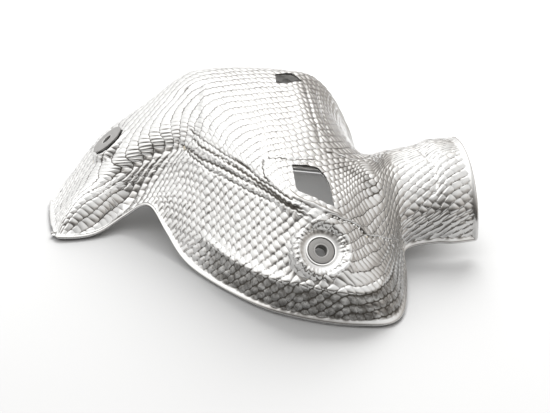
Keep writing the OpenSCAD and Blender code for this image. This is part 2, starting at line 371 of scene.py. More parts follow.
CORNER = (
    (86, 83, 3), (77, 77, 38), (73, 61, 52), (73, 39, 61), (75, 19, 66), (76, 1, 69),
    (78, -17, 68), (81, -37, 59), (79, -68, 45), (85, -86, 35), (94, -100, 21), (102, -110, 2),
)
NOTCH = (
    (91, 60, 12), (88, 53, 33), (87, 45, 46), (86, 33, 56), (87, 19, 63), (87, 3, 66),
    (89, -13, 65), (93, -31, 58), (96, -43, 43), (102, -44, 30), (107, -42, 15), (110, -51, 3),
)
WINDOW_OUTLINE = (
    (26, -29), (45, -27), (50, -34), (53, -42), (56, -64), (49, -63), (40, -59), (32, -57), (29, -54),
)
SLOT_OUTLINE = ((14, 93), (24, 98), (28, 96), (36, 83), (28, 79), (24, 76), (15, 76))


@dataclass
class PressedSurface:
    """The smooth outer face of the shield, before its emboss, in millimetres."""

    softness: float = 0.4
    rest_lift: float = 0.49
    mouth: tuple[float, float] = (156, 31)
    collar_turn: float = math.radians(10)
    tube_sweep: float = math.radians(92)
    tube_rings: tuple[Point, ...] = ((56, 49, 11), (30, 49, 14), (19, 52.5, 14.5), (0, 51.5, 14.5))
    seats: tuple[Seat, ...] = (FRONT_SEAT, WING_SEAT, REAR_SEAT)
    dished: tuple[Seat, ...] = (FRONT_SEAT, REAR_SEAT)
    seat_flat_r: float = 15.5
    seat_fade_r: float = 21.5
    seat_reach: float = 14
    recess_depth: float = 2.2
    recess_fade: float = 6
    net: Array = field(init=False)

    def __post_init__(self) -> None:
        """Put the sections together with the rings of the half-tube collar."""
        sections = [
            TIP, FLANGE, WING_LOW, WING_HIGH, ROOT, SHOULDER, RIB, MIDDLE, WINDOW, CREASE, CORNER, NOTCH,
        ]
        sections += [self.tube_ring(*ring) for ring in self.tube_rings]
        self.net = np.array([[list(p) for p in s] for s in sections], float)

    def tube_ring(self, back: float, radius: float, height: float) -> list[Point]:
        """A section of the half tube.

        Args:
            back: Distance behind the mouth.
            radius: Radius of the tube there.
            height: Height of its centre.

        Returns:
            Its points from the rear rim over the top to the front rim.
        """
        turn, points = self.collar_turn, []
        for a in np.linspace(-self.tube_sweep, self.tube_sweep, len(TIP)):
            side = radius * math.sin(a)
            points.append((
                self.mouth[0] - back * math.cos(turn) + side * math.sin(turn),
                self.mouth[1] - back * math.sin(turn) - side * math.cos(turn),
                height + radius * math.cos(a),
            ))
        return points

    def stations(self, axis: int, step: float) -> Array:
        """Places along one direction of the net, about a step apart on the surface.

        Args:
            axis: 0 along the shield, 1 from the rear rim to the front one.
            step: Distance wanted between them.

        Returns:
            The places, as numbers of sections or of points in a section.
        """
        gaps = np.linalg.norm(np.diff(self.net, axis=axis), axis=2).max(axis=1 - axis)
        parts = [np.arange(n) / n + i for i, n in enumerate(np.ceil(gaps * 0.93 / step).astype(int))]
        return np.concatenate([*parts, [len(gaps)]])

    def weights(self, places: Array, count: int) -> Array:
        """How much each net point counts at each place, with one point run on past each end.

        Args:
            places: Places along the net.
            count: Number of net points in that direction.

        Returns:
            One row for each place, with count + 2 columns.
        """
        i = np.clip(np.floor(places).astype(int), 0, count - 2)
        t = places - i
        q = 1.0 - t
        through = (-t * q * q / 2, 1 - 2.5 * t**2 + 1.5 * t**3, 1 - 2.5 * q**2 + 1.5 * q**3, -q * t * t / 2)
        near = (q**3 / 6, (4 - 6 * t**2 + 3 * t**3) / 6, (4 - 6 * q**2 + 3 * q**3) / 6, t**3 / 6)
        table = np.zeros((len(places), count + 2))
        for k in range(4):
            table[np.arange(len(places)), i + k] = (1 - self.softness) * through[k] + self.softness * near[k]
        return table

    def face(self, us: Array, vs: Array) -> Array:
        """Points of the face at the crossings of two lists of places.

        Args:
            us: Places along the shield.
            vs: Places from the rear rim to the front one.

        Returns:
            Points with one row for each of us and one column for each of vs.
        """
        net = self.net
        net = np.concatenate([2 * net[:1] - net[1:2], net, 2 * net[-1:] - net[-2:-1]])
        net = np.concatenate([2 * net[:, :1] - net[:, 1:2], net, 2 * net[:, -1:] - net[:, -2:-1]], axis=1)
        rows, columns = self.weights(us, len(self.net)), self.weights(vs, len(self.net[0]))
        points = np.einsum("ia,jb,abc->ijc", rows, columns, net)
        points = self.sunk(points)
        points[..., 2] += self.rest_lift
        for seat in self.seats:
            points = self.pressed(points, seat)
        return points

    def path(self, places: tuple[tuple[float, float], ...]) -> Array:
        """A fine path over the face through places on the net."""
        at = np.array(places, float)
        steps = np.linspace(0, len(at) - 1, 8 * (len(at) - 1) + 1)
        u = np.interp(steps, np.arange(len(at)), at[:, 0])
        v = np.interp(steps, np.arange(len(at)), at[:, 1])
        return np.array([self.face(np.array([a]), np.array([b]))[0, 0] for a, b in zip(u, v)])

    def sunk(self, p: Array) -> Array:
        """Lower the panel beside the rib of the dome."""
        fade = self.recess_fade
        share = smooth((-40 - p[..., 0]) / fade) * smooth((84 - p[..., 1]) / fade)
        share *= smooth((p[..., 1] - 26) / fade) * smooth((p[..., 0] + 84) / 24)
        p = p.copy()
        p[..., 2] -= self.recess_depth * share
        return p

    def pressed(self, p: Array, seat: Seat) -> Array:
        """Press the points near a seat onto its flat."""
        n = seat.normal
        offset = p - np.array(seat.centre)
        height = offset @ n
        r = np.linalg.norm(offset - height[..., None] * n, axis=-1)
        share = 1 - smooth((r - self.seat_flat_r) / (self.seat_fade_r - self.seat_flat_r))
        share = np.where(np.abs(height) < self.seat_reach, share, 0.0)
        return p - (share * height)[..., None] * n


def outward(points: Array) -> Array:
    """Outward directions at the points of a grid."""
    du, dv = np.gradient(points, axis=0), np.gradient(points, axis=1)
    n = np.cross(dv, du)
    size = np.linalg.norm(n, axis=-1, keepdims=True)
    return np.where(size > 1e-9, n / np.maximum(size, 1e-12), 0.0)


class Dent(Enum):
    """Shapes that a pressed line takes across its width."""

    GROOVE = "groove"
    STEP = "step"


@dataclass(frozen=True)
class Mark:
    """A line pressed, folded or torn into the face.

    Its path is given as places on the net. A groove's height is reached along the path and
    falls away over its width. A step lifts what lies on its left, and fades over its reach.
    A winding line sways from side to side by sway, once in every length of wave.
    """

    path: tuple[tuple[float, float], ...]
    width: float
    height: float
    shape: Dent = Dent.GROOVE
    reach: float = 12.0
    sway: float = 0.0
    wave: float = 5.6
    # Painted shade laid along the line, darkest at its middle
    painted_shade: float = 0.0
    plain: float = 0.0


@dataclass
class Blank:
    """A grid of the shield's face with all that is pressed into it, in millimetres."""

    surface: PressedSurface
    step: float
    marks: tuple[Mark, ...] = ()
    rim_curl: float = 1.7
    rim_reach: float = 4.5
    dish_r: float = 17.0
    dish_height: float = 1.9
    dish_floor_r: float = 11.2
    dish_fade: float = 5.5
    flutes: int = 31
    flute_reach: float = 2.6
    flute_height: float = 0.22
    us: Array = field(init=False)
    vs: Array = field(init=False)
    # Painted shade gathered along the marks
    painted_shade: Array = field(init=False)
    plain: Array = field(init=False)
    points: Array = field(init=False)
    out: Array = field(init=False)
    sheet: Array = field(init=False)

    def __post_init__(self) -> None:
        """Work out the points, their outward directions and their places on the flat sheet."""
        self.us = self.surface.stations(0, self.step)
        self.vs = self.surface.stations(1, self.step)
        face = self.surface.face(self.us, self.vs)
        n = outward(face)
        self.painted_shade = np.zeros(face.shape[:2])
        self.plain = np.zeros(face.shape[:2])
        rise = np.zeros(face.shape[:2])
        for mark in self.marks:
            rise = rise + self.pressed(face, n, mark)
        for seat in self.surface.dished:
            rise = rise + self.dish(face, seat)
        rim = self.rim_distance(self.flat_places(face))
        rise = rise + self.rim_curl * (1 - smooth(rim / self.rim_reach)) ** 2
        face = face + rise[..., None] * n
        self.points, self.out = face, outward(face)
        self.sheet = self.flat_places(face)

    def pressed(self, face: Array, n: Array, mark: Mark) -> Array:
        """Heights that a mark adds to the face, noting the painted shade along it and its smooth strip."""
        path = self.surface.path(mark.path)
        lo, hi = path.min(axis=0) - 16, path.max(axis=0) + 16
        near = ((face > lo) & (face < hi)).all(axis=-1)
        p = face[near]
        d, place = distance_to_path(p, path)
        length = np.linalg.norm(np.diff(path, axis=0), axis=1).sum()
        ends = smooth(place / 0.12) * smooth((1 - place) / 0.12)
        direction = unit(path[-1] - path[0])
        side = np.sum(np.cross(n[near], direction) * (p - self.nearest(p, path)), axis=-1)
        side = side + mark.sway * np.sin(place * length * 2 * math.pi / mark.wave)
        d = np.where(d < 8, np.hypot(side, np.maximum(d - np.abs(side), 0)), d) if mark.sway else d
        bell = np.exp(-((d / mark.width) ** 2)) * ends
        # Painted shade along the line, strongest at its middle
        self.painted_shade[near] += mark.painted_shade * bell**2
        smoothed = mark.plain * np.exp(-((d / (mark.width * 1.6)) ** 4)) * ends
        self.plain[near] = np.maximum(self.plain[near], smoothed)
        rise = np.zeros(face.shape[:2])
        if mark.shape is Dent.GROOVE:
            rise[near] = mark.height * bell
        else:
            step = smooth(0.5 + side / mark.width / 2)
            rise[near] = mark.height * step * (1 - smooth((d - 1) / mark.reach)) * ends
        return rise

    @staticmethod
    def nearest(points: Array, path: Array) -> Array:
        """The nearest place on a path to each point."""
        best, found = np.full(len(points), np.inf), points.copy()
        for a, b in zip(path[:-1], path[1:]):
            t = np.clip(((points - a) @ (b - a)) / max(float((b - a) @ (b - a)), 1e-9), 0.0, 1.0)
            q = a + t[:, None] * (b - a)
            d = np.linalg.norm(points - q, axis=1)
            found = np.where((d < best)[:, None], q, found)
            best = np.minimum(best, d)
        return found

    def dish(self, face: Array, seat: Seat) -> Array:
        """Heights of the raised, fluted rim round a dished bolt seat."""
        offset = face - np.array(seat.centre)
        h = offset @ seat.normal
        flat = offset - h[..., None] * seat.normal
        r = np.linalg.norm(flat, axis=-1)
        angle = np.arctan2(flat @ np.cross(seat.normal, seat.side), flat @ seat.side)
        past = r - self.dish_r
        rising = smooth((r - self.dish_floor_r) / (self.dish_r - self.dish_floor_r))
        rim = np.where(past > 0, np.exp(-((past / self.dish_fade) ** 2)), rising)
        flutes = np.cos(self.flutes * angle + 1.5 * np.sin(3 * angle)) * np.exp(-((past / self.flute_reach) ** 2))
        return np.where(np.abs(h) < 12, self.dish_height * rim + self.flute_height * flutes, 0.0)

    @staticmethod
    def flat_places(face: Array) -> Array:
        """Places on the flat sheet that the face was drawn from, as lengths along its lines."""
        along = np.linalg.norm(np.diff(face, axis=0), axis=2)
        across = np.linalg.norm(np.diff(face, axis=1), axis=2)
        s = np.concatenate([np.zeros((1, face.shape[1])), np.cumsum(along, axis=0)])
        t = np.concatenate([np.zeros((face.shape[0], 1)), np.cumsum(across, axis=1)], axis=1)
        middle_u, middle_v = face.shape[0] // 2, face.shape[1] // 2
        s = s - s[middle_u][None, :]
        t = t - t[:, middle_v][:, None]
        return np.stack([s, t], axis=-1)

    @staticmethod
    def rim_distance(sheet: Array) -> Array:
        """Length along the grid from each point to the nearest rim."""
        s, t = sheet[..., 0], sheet[..., 1]
        return np.minimum.reduce([s - s[:1], s[-1:] - s, t - t[:, :1], t[:, -1:] - t])


# The darkening given to some marks below is painted shade in their folds and grooves
MARKS = (
    # Pleats where the front wall folds up into the dome
    Mark(((4.82, 5.67), (5.63, 6.43), (6.16, 6.57), (6.95, 6.67), (7.48, 6.53), (8.06, 6.31), (8.59, 6.36)),
         1.3, -1.0, sway=0.5, painted_shade=1.3, plain=0.5),
    Mark(((6.43, 6.25), (6.69, 6.33), (6.99, 6.49), (7.45, 6.26), (8.08, 6.05), (8.46, 6.14), (8.66, 6.26)),
         1.0, -0.8, sway=0.4, painted_shade=1.2, plain=0.5),
    Mark(((4.3, 5.35), (5.0, 6.48), (5.69, 6.94), (6.61, 6.93), (7.48, 6.71), (7.94, 6.52), (8.36, 6.64),
          (8.56, 6.71)),
         1.3, -1.1, sway=0.5, painted_shade=1.3, plain=0.5),
    Mark(((4.5, 5.9), (5.3, 6.9), (6.0, 7.25), (6.8, 7.22), (7.5, 7.0)),
         1.1, -0.8, sway=0.5, painted_shade=1.0, plain=0.3),
    Mark(((4.9, 5.2), (5.6, 6.1), (6.3, 6.35), (6.9, 6.3)), 1.0, -0.6, sway=0.4, painted_shade=0.9, plain=0.3),
    # Broad roll between the pleats
    Mark(((5.3, 6.3), (6.3, 6.75), (7.2, 6.72), (8.0, 6.42)), 2.6, 0.9),
    # Torn seam across the front, and its turned-up edge by the window
    Mark(((8.5, 6.3), (8.65, 6.32), (8.89, 6.51), (9.19, 6.93), (9.56, 7.5), (9.96, 8.02), (10.42, 8.35),
          (10.72, 8.84), (11.2, 9.6)),
         0.8, -1.5, painted_shade=1.6, plain=0.6),
    Mark(((8.5, 6.3), (8.65, 6.32), (8.89, 6.51), (9.19, 6.93), (9.56, 7.5), (9.96, 8.02), (10.42, 8.35)),
         0.8, 1.0, Dent.STEP, reach=7.0, plain=0.6),
    Mark(((7.7, 5.9), (8.11, 6.0), (8.41, 6.02), (8.62, 6.16), (8.9, 6.43), (9.08, 6.7)), 1.7, 1.1, plain=1.0),
    # Beaded edge of the patch round the window
    Mark(((7.06, 5.48), (7.56, 5.21), (8.23, 5.09), (8.77, 5.08), (8.96, 5.16)),
         0.9, -0.7, sway=0.45, wave=4.6, painted_shade=1.2, plain=0.4),
    Mark(((7.07, 5.5), (7.03, 5.87), (7.07, 6.2), (7.25, 6.25)),
         0.9, -0.7, sway=0.45, wave=4.6, painted_shade=1.2, plain=0.4),
    # Joint between the dome's side and the neck
    Mark(((9.06, 4.88), (9.41, 4.84), (9.71, 4.96), (10.13, 5.02)), 0.8, -1.0, painted_shade=1.4, plain=0.4),
    # Creases down the dome's side
    Mark(((8.88, 3.0), (9.01, 3.64), (9.07, 4.29), (9.06, 4.8)), 1.6, -0.8, painted_shade=0.25),
    Mark(((9.15, 2.6), (9.3, 3.3), (9.35, 4.0), (9.35, 4.6)), 1.4, -0.5, painted_shade=0.1),
    # Step of the collar's flare, and the edges of the dome's rib
    Mark(((12.91, 5.02), (13.18, 6.2), (13.25, 7.22), (13.21, 7.97), (12.87, 8.7)), 1.5, -0.9, painted_shade=0.1),
    Mark(((5.94, 3.4), (5.88, 4.88), (5.89, 6.3)), 2.2, -0.6),
    Mark(((6.36, 3.4), (6.3, 4.69), (6.27, 6.1)), 1.8, -0.3),
    # Sharp edge over the turned-down front wall
    Mark(((5.9, 9.7), (6.57, 9.82), (7.28, 9.77), (8.05, 9.75), (8.91, 9.78), (9.6, 9.9), (10.2, 9.5)),
         3.6, 1.5),
    # Valley along the wing
    Mark(((1.68, 6.88), (2.86, 6.03), (4.01, 5.91), (5.23, 6.63)), 5.0, -1.2, painted_shade=0.12),
)


# ---------------------------------------------------------------------------------------------
# Cut-outs
# ---------------------------------------------------------------------------------------------
@dataclass(frozen=True)
class RoundHole:
    """A round hole through a seat."""

    seat: Seat
    radius: float

    def outside(self, p: Array) -> Array:
        """Distance outside the hole's edge, negative inside it."""
        offset = p - np.array(self.seat.centre)
        h = offset @ self.seat.normal
        r = np.linalg.norm(offset - h[..., None] * self.seat.normal, axis=-1)
        return np.where(np.abs(h) < 8, r - self.radius, 99.0)

    def snapped(self, p: Array, n: Array) -> Array:
        """Points moved onto the edge."""
        offset = p - np.array(self.seat.centre)
        h = (offset @ self.seat.normal)[:, None] * self.seat.normal
        return np.array(self.seat.centre) + h + unit(offset - h) * self.radius


@dataclass(frozen=True)
class PlanHole:
    """A hole cut straight down, with its corners rounded."""

    outline: tuple[tuple[float, float], ...]
    grow: float = 0.0
    corner: float = 1.6
    search: float = 8.0
    lowest: float = 50.0

    def edge(self) -> Array:
        """The closed outline in plan as a fine path with round corners."""
        ring = np.array(self.outline, float)
        points = []
        for before, here, after in zip(np.roll(ring, 1, axis=0), ring, np.roll(ring, -1, axis=0)):
            a = here + unit(before - here) * self.corner
            b = here + unit(after - here) * self.corner
            for t in np.linspace(0, 1, 7):
                points.append((1 - t) ** 2 * a + 2 * t * (1 - t) * here + t * t * b)
        points.append(points[0])
        return np.array(points)

    def outside(self, p: Array) -> Array:
        """Distance outside the hole's edge in plan, negative inside it."""
        edge, q = self.edge(), p[..., :2]
        low, high = edge.min(axis=0) - self.search, edge.max(axis=0) + self.search
        near = (q > low).all(axis=-1) & (q < high).all(axis=-1) & (p[..., 2] > self.lowest)
        out = np.full(p.shape[:-1], 99.0)
        chosen = q[near]
        d, _ = distance_to_path(chosen, edge)
        inside = np.zeros(len(chosen), bool)
        for (x0, y0), (x1, y1) in zip(edge[:-1], edge[1:]):
            crosses = (y0 > chosen[:, 1]) != (y1 > chosen[:, 1])
            with np.errstate(divide="ignore", invalid="ignore"):
                at = x0 + (chosen[:, 1] - y0) / (y1 - y0) * (x1 - x0)
            inside ^= crosses & (chosen[:, 0] < at)
        out[near] = np.where(inside, -d, d) - self.grow
        return out

    def snapped(self, p: Array, n: Array) -> Array:
        """Points slid over the surface onto the edge."""
        edge = self.edge()
        best, target = np.full(len(p), np.inf), p[:, :2].copy()
        for a, b in zip(edge[:-1], edge[1:]):
            t = np.clip(((p[:, :2] - a) @ (b - a)) / max(float((b - a) @ (b - a)), 1e-9), 0, 1)
            q = a + t[:, None] * (b - a)
            d = np.linalg.norm(p[:, :2] - q, axis=1)
            target = np.where((d < best)[:, None], q, target)
            best = np.minimum(best, d)
        back = p[:, :2] - target
        target = target + unit(back) * self.grow
        shift = target - p[:, :2]
        drop = -(n[:, 0] * shift[:, 0] + n[:, 1] * shift[:, 1]) / np.maximum(n[:, 2], 0.3)
        return np.column_stack([target, p[:, 2] + drop])


# ---------------------------------------------------------------------------------------------
# Geometry Nodes: the emboss and the knitted cushions
# ---------------------------------------------------------------------------------------------
@dataclass(frozen=True)
class Emboss:
    """Sizes of the pillow emboss, in millimetres and degrees."""

    pitch_along: float = 6.2
    pitch_across: float = 6.3
    turn: float = -36.0
    depth: float = 0.95
    irregularity: float = 0.28
    crumple: float = 0.35
    seed: int = 7

    def tree(self) -> bpy.types.NodeTree:
        """The Geometry Nodes tree that presses rows of pillows, laid like bricks, into a sheet.

        It reads the point attributes sheet, out and relief, moves each point along out, and
        stores the pressed height, from 0 in a valley to 1 on a pillow, as height.
        """
        number, whole = "NodeSocketFloat", "NodeSocketInt"
        tree, w, given, out = new_tree("pillow_emboss", {
            "Pitch Along": (number, 5.0), "Pitch Across": (number, 4.5), "Turn": (number, 0.0),
            "Depth": (number, 0.5), "Irregularity": (number, 0.2), "Crumple": (number, 0.3),
            "Seed": (whole, 0), "Material": ("NodeSocketMaterial", None),
        })
        value = given.outputs

        def named(name: str, kind: str) -> bpy.types.NodeSocket:
            node = w.node("GeometryNodeInputNamedAttribute", data_type=kind)
            node.inputs["Name"].default_value = name
            return node.outputs["Attribute"]

        shift = w.combine(w.math("MULTIPLY", value["Seed"], 97.0), 0.0, 0.0)
        sheet = w.vector("ADD", named("sheet", "FLOAT_VECTOR"), shift)
        drift = w.math("SUBTRACT", w.noise(sheet, 0.035, 1.0), 0.5)
        split = w.node("ShaderNodeSeparateXYZ")
        w.put(split.inputs[0], sheet)
        s, t = split.outputs[0], split.outputs[1]
        angle = w.math("RADIANS", value["Turn"])
        cosine, sine = w.math("COSINE", angle), w.math("SINE", angle)
        x = w.math("ADD", w.math("MULTIPLY", s, cosine), w.math("MULTIPLY", t, sine))
        y = w.math("SUBTRACT", w.math("MULTIPLY", t, cosine), w.math("MULTIPLY", s, sine))
        wander = w.math("MULTIPLY", drift, value["Irregularity"])
        x = w.math("ADD", w.math("DIVIDE", x, value["Pitch Along"]), w.math("MULTIPLY", wander, 4.0))
        y = w.math("ADD", w.math("DIVIDE", y, value["Pitch Across"]), w.math("MULTIPLY", wander, 3.0))
        row = w.math("FLOOR", y)
        x = w.math("ADD", x, w.math("MULTIPLY", w.math("FLOORED_MODULO", row, 2.0), 0.5))
        column = w.math("FLOOR", x)
        fx = w.math("SUBTRACT", w.math("FRACT", x), 0.5)
        fy = w.math("SUBTRACT", w.math("FRACT", y), 0.5)

        def bulge(place: bpy.types.NodeSocket, power: float) -> bpy.types.NodeSocket:
            wave = w.math("MAXIMUM", w.math("COSINE", w.math("MULTIPLY", place, math.pi)), 0.0)
            return w.math("POWER", wave, power)

        along, across = bulge(fx, 0.7), bulge(fy, 0.45)
        saddle = w.math("ADD", 0.38, w.math("MULTIPLY", along, 0.62))
        pillow = w.math("MULTIPLY", saddle, across)
        cell = w.node("ShaderNodeTexWhiteNoise", noise_dimensions="3D")
        w.put(cell.inputs["Vector"], w.combine(column, row, value["Seed"]))
        uneven = w.math("SUBTRACT", 1.0, w.math("MULTIPLY", cell.outputs["Value"], value["Irregularity"]))
        height = w.math("MULTIPLY", pillow, uneven)
        crumple = w.math("MULTIPLY", w.math("SUBTRACT", w.noise(sheet, 0.11, 2.0), 0.5), value["Crumple"])
        relief = named("relief", "FLOAT")
        raised = w.math("MULTIPLY", w.math("SUBTRACT", height, 0.55), value["Depth"])
        raised = w.math("MULTIPLY", raised, relief)
        raised = w.math("ADD", raised, w.math("MULTIPLY", crumple, relief))
        moved = w.node("GeometryNodeSetPosition")
        w.put(moved.inputs["Geometry"], value["Geometry"])
        lift = w.math("MULTIPLY", raised, MM)
        w.put(moved.inputs["Offset"], w.vector("SCALE", named("out", "FLOAT_VECTOR"), None, None, lift))
        stored = w.node("GeometryNodeStoreNamedAttribute", data_type="FLOAT", domain="POINT")
        w.put(stored.inputs["Geometry"], moved.outputs[0])
        stored.inputs["Name"].default_value = "height"
        flat = w.math("MULTIPLY", w.math("SUBTRACT", 1.0, relief), 0.8)
        w.put(stored.inputs["Value"], w.math("ADD", w.math("MULTIPLY", height, relief), flat))
        close_tree(w, stored.outputs[0], given, out)
        return tree

    def press(
        self, tree: bpy.types.NodeTree, blank: Array, out: Array, sheet: Array, relief: Array,
        material: bpy.types.Material,
    ) -> tuple[Array, Array]:
        """Emboss a grid of points.

        Args:
            tree: The tree that tree() made.
            blank: Points of the grid in millimetres.
            out: Outward directions.
            sheet: Places on the flat sheet in millimetres.
            relief: How much of the emboss each point takes.
            material: Any material, for the tree's Material input.

        Returns:
            The moved points, and the pressed height from 0 to 1 at each.
        """
        shape = blank.shape[:2]
        piece = mesh_object("blank", blank.reshape(-1, 3), [], material)
        set_attribute(piece.data, "sheet", np.column_stack([sheet.reshape(-1, 2), np.zeros(sheet[..., 0].size)]))
        set_attribute(piece.data, "out", out.reshape(-1, 3))
        set_attribute(piece.data, "relief", relief.reshape(-1))
        mesh = worked_mesh(piece, tree, {
            "Pitch Along": self.pitch_along, "Pitch Across": self.pitch_across, "Turn": self.turn,
            "Depth": self.depth, "Irregularity": self.irregularity, "Crumple": self.crumple,
            "Seed": self.seed, "Material": material,
        })
        points = np.zeros(len(mesh.vertices) * 3, np.float32)
        mesh.vertices.foreach_get("co", points)
        height = np.zeros(len(mesh.vertices), np.float32)
        mesh.attributes["height"].data.foreach_get("value", height)
        bpy.data.objects.remove(piece)
        bpy.data.meshes.remove(mesh)
        return points.reshape(*shape, 3).astype(float) / MM, height.reshape(shape).astype(float)


@dataclass(frozen=True)
class Knit:
    """Sizes of the knitted wire in a cushion, in millimetres."""

    inner: float = 5.75
    outer: float = 8.1
    low: float = -2.85
    high: float = -0.45
    wire: float = 0.14
    loops: int = 14
    waves: int = 17

    def tree(self) -> bpy.types.NodeTree:
        """The Geometry Nodes tree that knits a ring of wire round the Z axis.

        Each loop of wire winds over the ring's cross-section many times in one turn, and the
        loops are turned against each other, so that they cross as pressed knitted wire does.
        """
        number, whole = "NodeSocketFloat", "NodeSocketInt"
        tree, w, given, out = new_tree("knitted_ring", {
            "Inner": (number, 5.0), "Outer": (number, 8.0), "Low": (number, -3.0), "High": (number, 0.0),
            "Wire": (number, 0.15), "Loops": (whole, 12), "Waves": (whole, 15),
            "Material": ("NodeSocketMaterial", None),
        })
        value = given.outputs
        ring = w.node("GeometryNodeCurvePrimitiveCircle", mode="RADIUS")
        ring.inputs["Resolution"].default_value = 204
        ring.inputs["Radius"].default_value = 1.0
        copies = w.node("GeometryNodeDuplicateElements", domain="SPLINE")
        w.put(copies.inputs["Geometry"], ring.outputs[0])
        w.put(copies.inputs["Amount"], value["Loops"])
        kept = w.node("GeometryNodeStoreNamedAttribute", data_type="FLOAT", domain="CURVE")
        w.put(kept.inputs["Geometry"], copies.outputs["Geometry"])
        kept.inputs["Name"].default_value = "loop"
        w.put(kept.inputs["Value"], copies.outputs["Duplicate Index"])
        loop = w.node("GeometryNodeInputNamedAttribute", data_type="FLOAT")
        loop.inputs["Name"].default_value = "loop"
        here = w.node("ShaderNodeSeparateXYZ")
        w.put(here.inputs[0], w.node("GeometryNodeInputPosition").outputs[0])
        angle = w.math("ARCTAN2", here.outputs[1], here.outputs[0])
        share = w.math("DIVIDE", loop.outputs["Attribute"], value["Loops"])
        odd = w.math("FLOORED_MODULO", loop.outputs["Attribute"], 2.0)
        way = w.math("SUBTRACT", w.math("MULTIPLY", odd, 2.0), 1.0)
        wave = w.math("MULTIPLY", w.math("MULTIPLY", angle, value["Waves"]), way)
        wave = w.math("ADD", wave, w.math("MULTIPLY", share, 4 * math.pi))
        middle = w.math("MULTIPLY", w.math("ADD", value["Inner"], value["Outer"]), 0.5)
        half = w.math("MULTIPLY", w.math("SUBTRACT", value["Outer"], value["Inner"]), 0.5)
        level = w.math("MULTIPLY", w.math("ADD", value["Low"], value["High"]), 0.5)
        rise = w.math("MULTIPLY", w.math("SUBTRACT", value["High"], value["Low"]), 0.5)
        shrink = w.math("ADD", 0.55, w.math("MULTIPLY", share, 0.45))
        swing = w.math("MULTIPLY", w.math("MULTIPLY", half, shrink), w.math("COSINE", wave))
        radius = w.math("ADD", middle, swing)
        bob = w.math("MULTIPLY", w.math("MULTIPLY", rise, shrink), w.math("SINE", wave))
        height = w.math("ADD", level, bob)
        moved = w.node("GeometryNodeSetPosition")
        w.put(moved.inputs["Geometry"], kept.outputs[0])
        east, north = (w.math("MULTIPLY", radius, w.math(turn, angle)) for turn in ("COSINE", "SINE"))
        place = w.combine(east, north, height)
        w.put(moved.inputs["Position"], w.vector("SCALE", place, None, None, MM))
        section = w.node("GeometryNodeCurvePrimitiveCircle", mode="RADIUS")
        section.inputs["Resolution"].default_value = 5
        w.put(section.inputs["Radius"], w.math("MULTIPLY", value["Wire"], MM))
        tube = w.node("GeometryNodeCurveToMesh")
        w.put(tube.inputs["Curve"], moved.outputs[0])
        w.put(tube.inputs["Profile Curve"], section.outputs[0])
        close_tree(w, tube.outputs[0], given, out)
        return tree

    def mesh(self, tree: bpy.types.NodeTree, material: bpy.types.Material, rise: float) -> bpy.types.Mesh:
        """The knitted ring as a plain mesh, its top raised by rise."""
        holder = mesh_object("holder", np.zeros((1, 3)), [], material)
        mesh = worked_mesh(holder, tree, {
            "Inner": self.inner, "Outer": self.outer, "Low": self.low, "High": self.high + rise,
            "Wire": self.wire, "Loops": self.loops, "Waves": self.waves, "Material": material,
        })
        bpy.data.objects.remove(holder)
        return mesh


# ---------------------------------------------------------------------------------------------
# Materials
# ---------------------------------------------------------------------------------------------
def group(
    name: str, inputs: dict[str, tuple[str, object]], outputs: dict[str, str], fill: Callable
) -> bpy.types.NodeTree:
    """A shader node group with named inputs and outputs.

    Args:
        name: Name of the group.
        inputs: For each input its socket type and default value.
        outputs: For each output its socket type.
        fill: Writes the nodes; it takes the writer, the input sockets and the output node.

    Returns:
        The group.
    """
    tree = bpy.data.node_groups.new(name, "ShaderNodeTree")
    for key, (kind, default) in inputs.items():
        tree.interface.new_socket(key, in_out="INPUT", socket_type=kind).default_value = default
    for key, kind in outputs.items():
        tree.interface.new_socket(key, in_out="OUTPUT", socket_type=kind)
    given, out = tree.nodes.new("NodeGroupInput"), tree.nodes.new("NodeGroupOutput")
    fill(TreeWriter(tree), given.outputs, out.inputs)
    return tree


class Effects:
    """Shader node groups that several finishes share."""

    def __init__(self) -> None:
        """Build each group once."""
        number, colour = "NodeSocketFloat", "NodeSocketColor"
        self.handling = group(
            "handling_marks",
            {"Scale": (number, 1.0), "Roughness": (number, 0.3), "Spread": (number, 0.1)},
            {"Roughness": number, "Height": number},
            self.fill_handling,
        )
        self.soiling = group(
            "soiling",
            {
                "Colour": (colour, (0.9, 0.9, 0.9, 1)), "Soil": (colour, (0.2, 0.18, 0.15, 1)),
                "Cover": (number, 0.0), "Scale": (number, 1.0),
            },
            {"Colour": colour, "Mask": number},
            self.fill_soil_and_shade,
        )

    @staticmethod
    def fill_handling(w: TreeWriter, given: object, out: object) -> None:
        """Cloudy roughness with fine scratches over it."""
        place = w.node("ShaderNodeTexCoord").outputs["Object"]
        scaled = w.vector("SCALE", place, None, None, given["Scale"])
        cloud = w.math("SUBTRACT", w.noise(scaled, 55.0, 3.0), 0.5)
        stretch = w.vector("MULTIPLY", scaled, (260.0, 1700.0, 700.0))
        scratch = w.ramp(w.noise(stretch, 1.0, 2.0, 0.6), 0.62, 0.8)
        grain = w.noise(scaled, 2600.0, 2.0)
        worn = w.math("ADD", cloud, w.math("MULTIPLY", scratch, 0.6))
        rough = w.math("ADD", given["Roughness"], w.math("MULTIPLY", worn, given["Spread"]))
        w.put(out["Roughness"], w.math("MINIMUM", w.math("MAXIMUM", rough, 0.08), 1.0))
        w.put(out["Height"], w.math("ADD", w.math("MULTIPLY", scratch, -0.6), w.math("MULTIPLY", grain, 0.5)))

    @staticmethod
    def fill_soil_and_shade(w: TreeWriter, given: object, out: object) -> None:
        """Soil colour laid over a colour where Cover is high, broken up by a noise; on the embossed skins Cover
        is mostly painted shade.
        """
        place = w.node("ShaderNodeTexCoord").outputs["Object"]
        blotch = w.noise(w.vector("SCALE", place, None, None, given["Scale"]), 170.0, 4.0, 0.65)
        mask = w.ramp(w.math("ADD", given["Cover"], w.math("SUBTRACT", blotch, 0.5)), 0.3, 0.95)
        w.put(out["Mask"], mask)
        w.put(out["Colour"], w.mix(mask, given["Colour"], given["Soil"]))


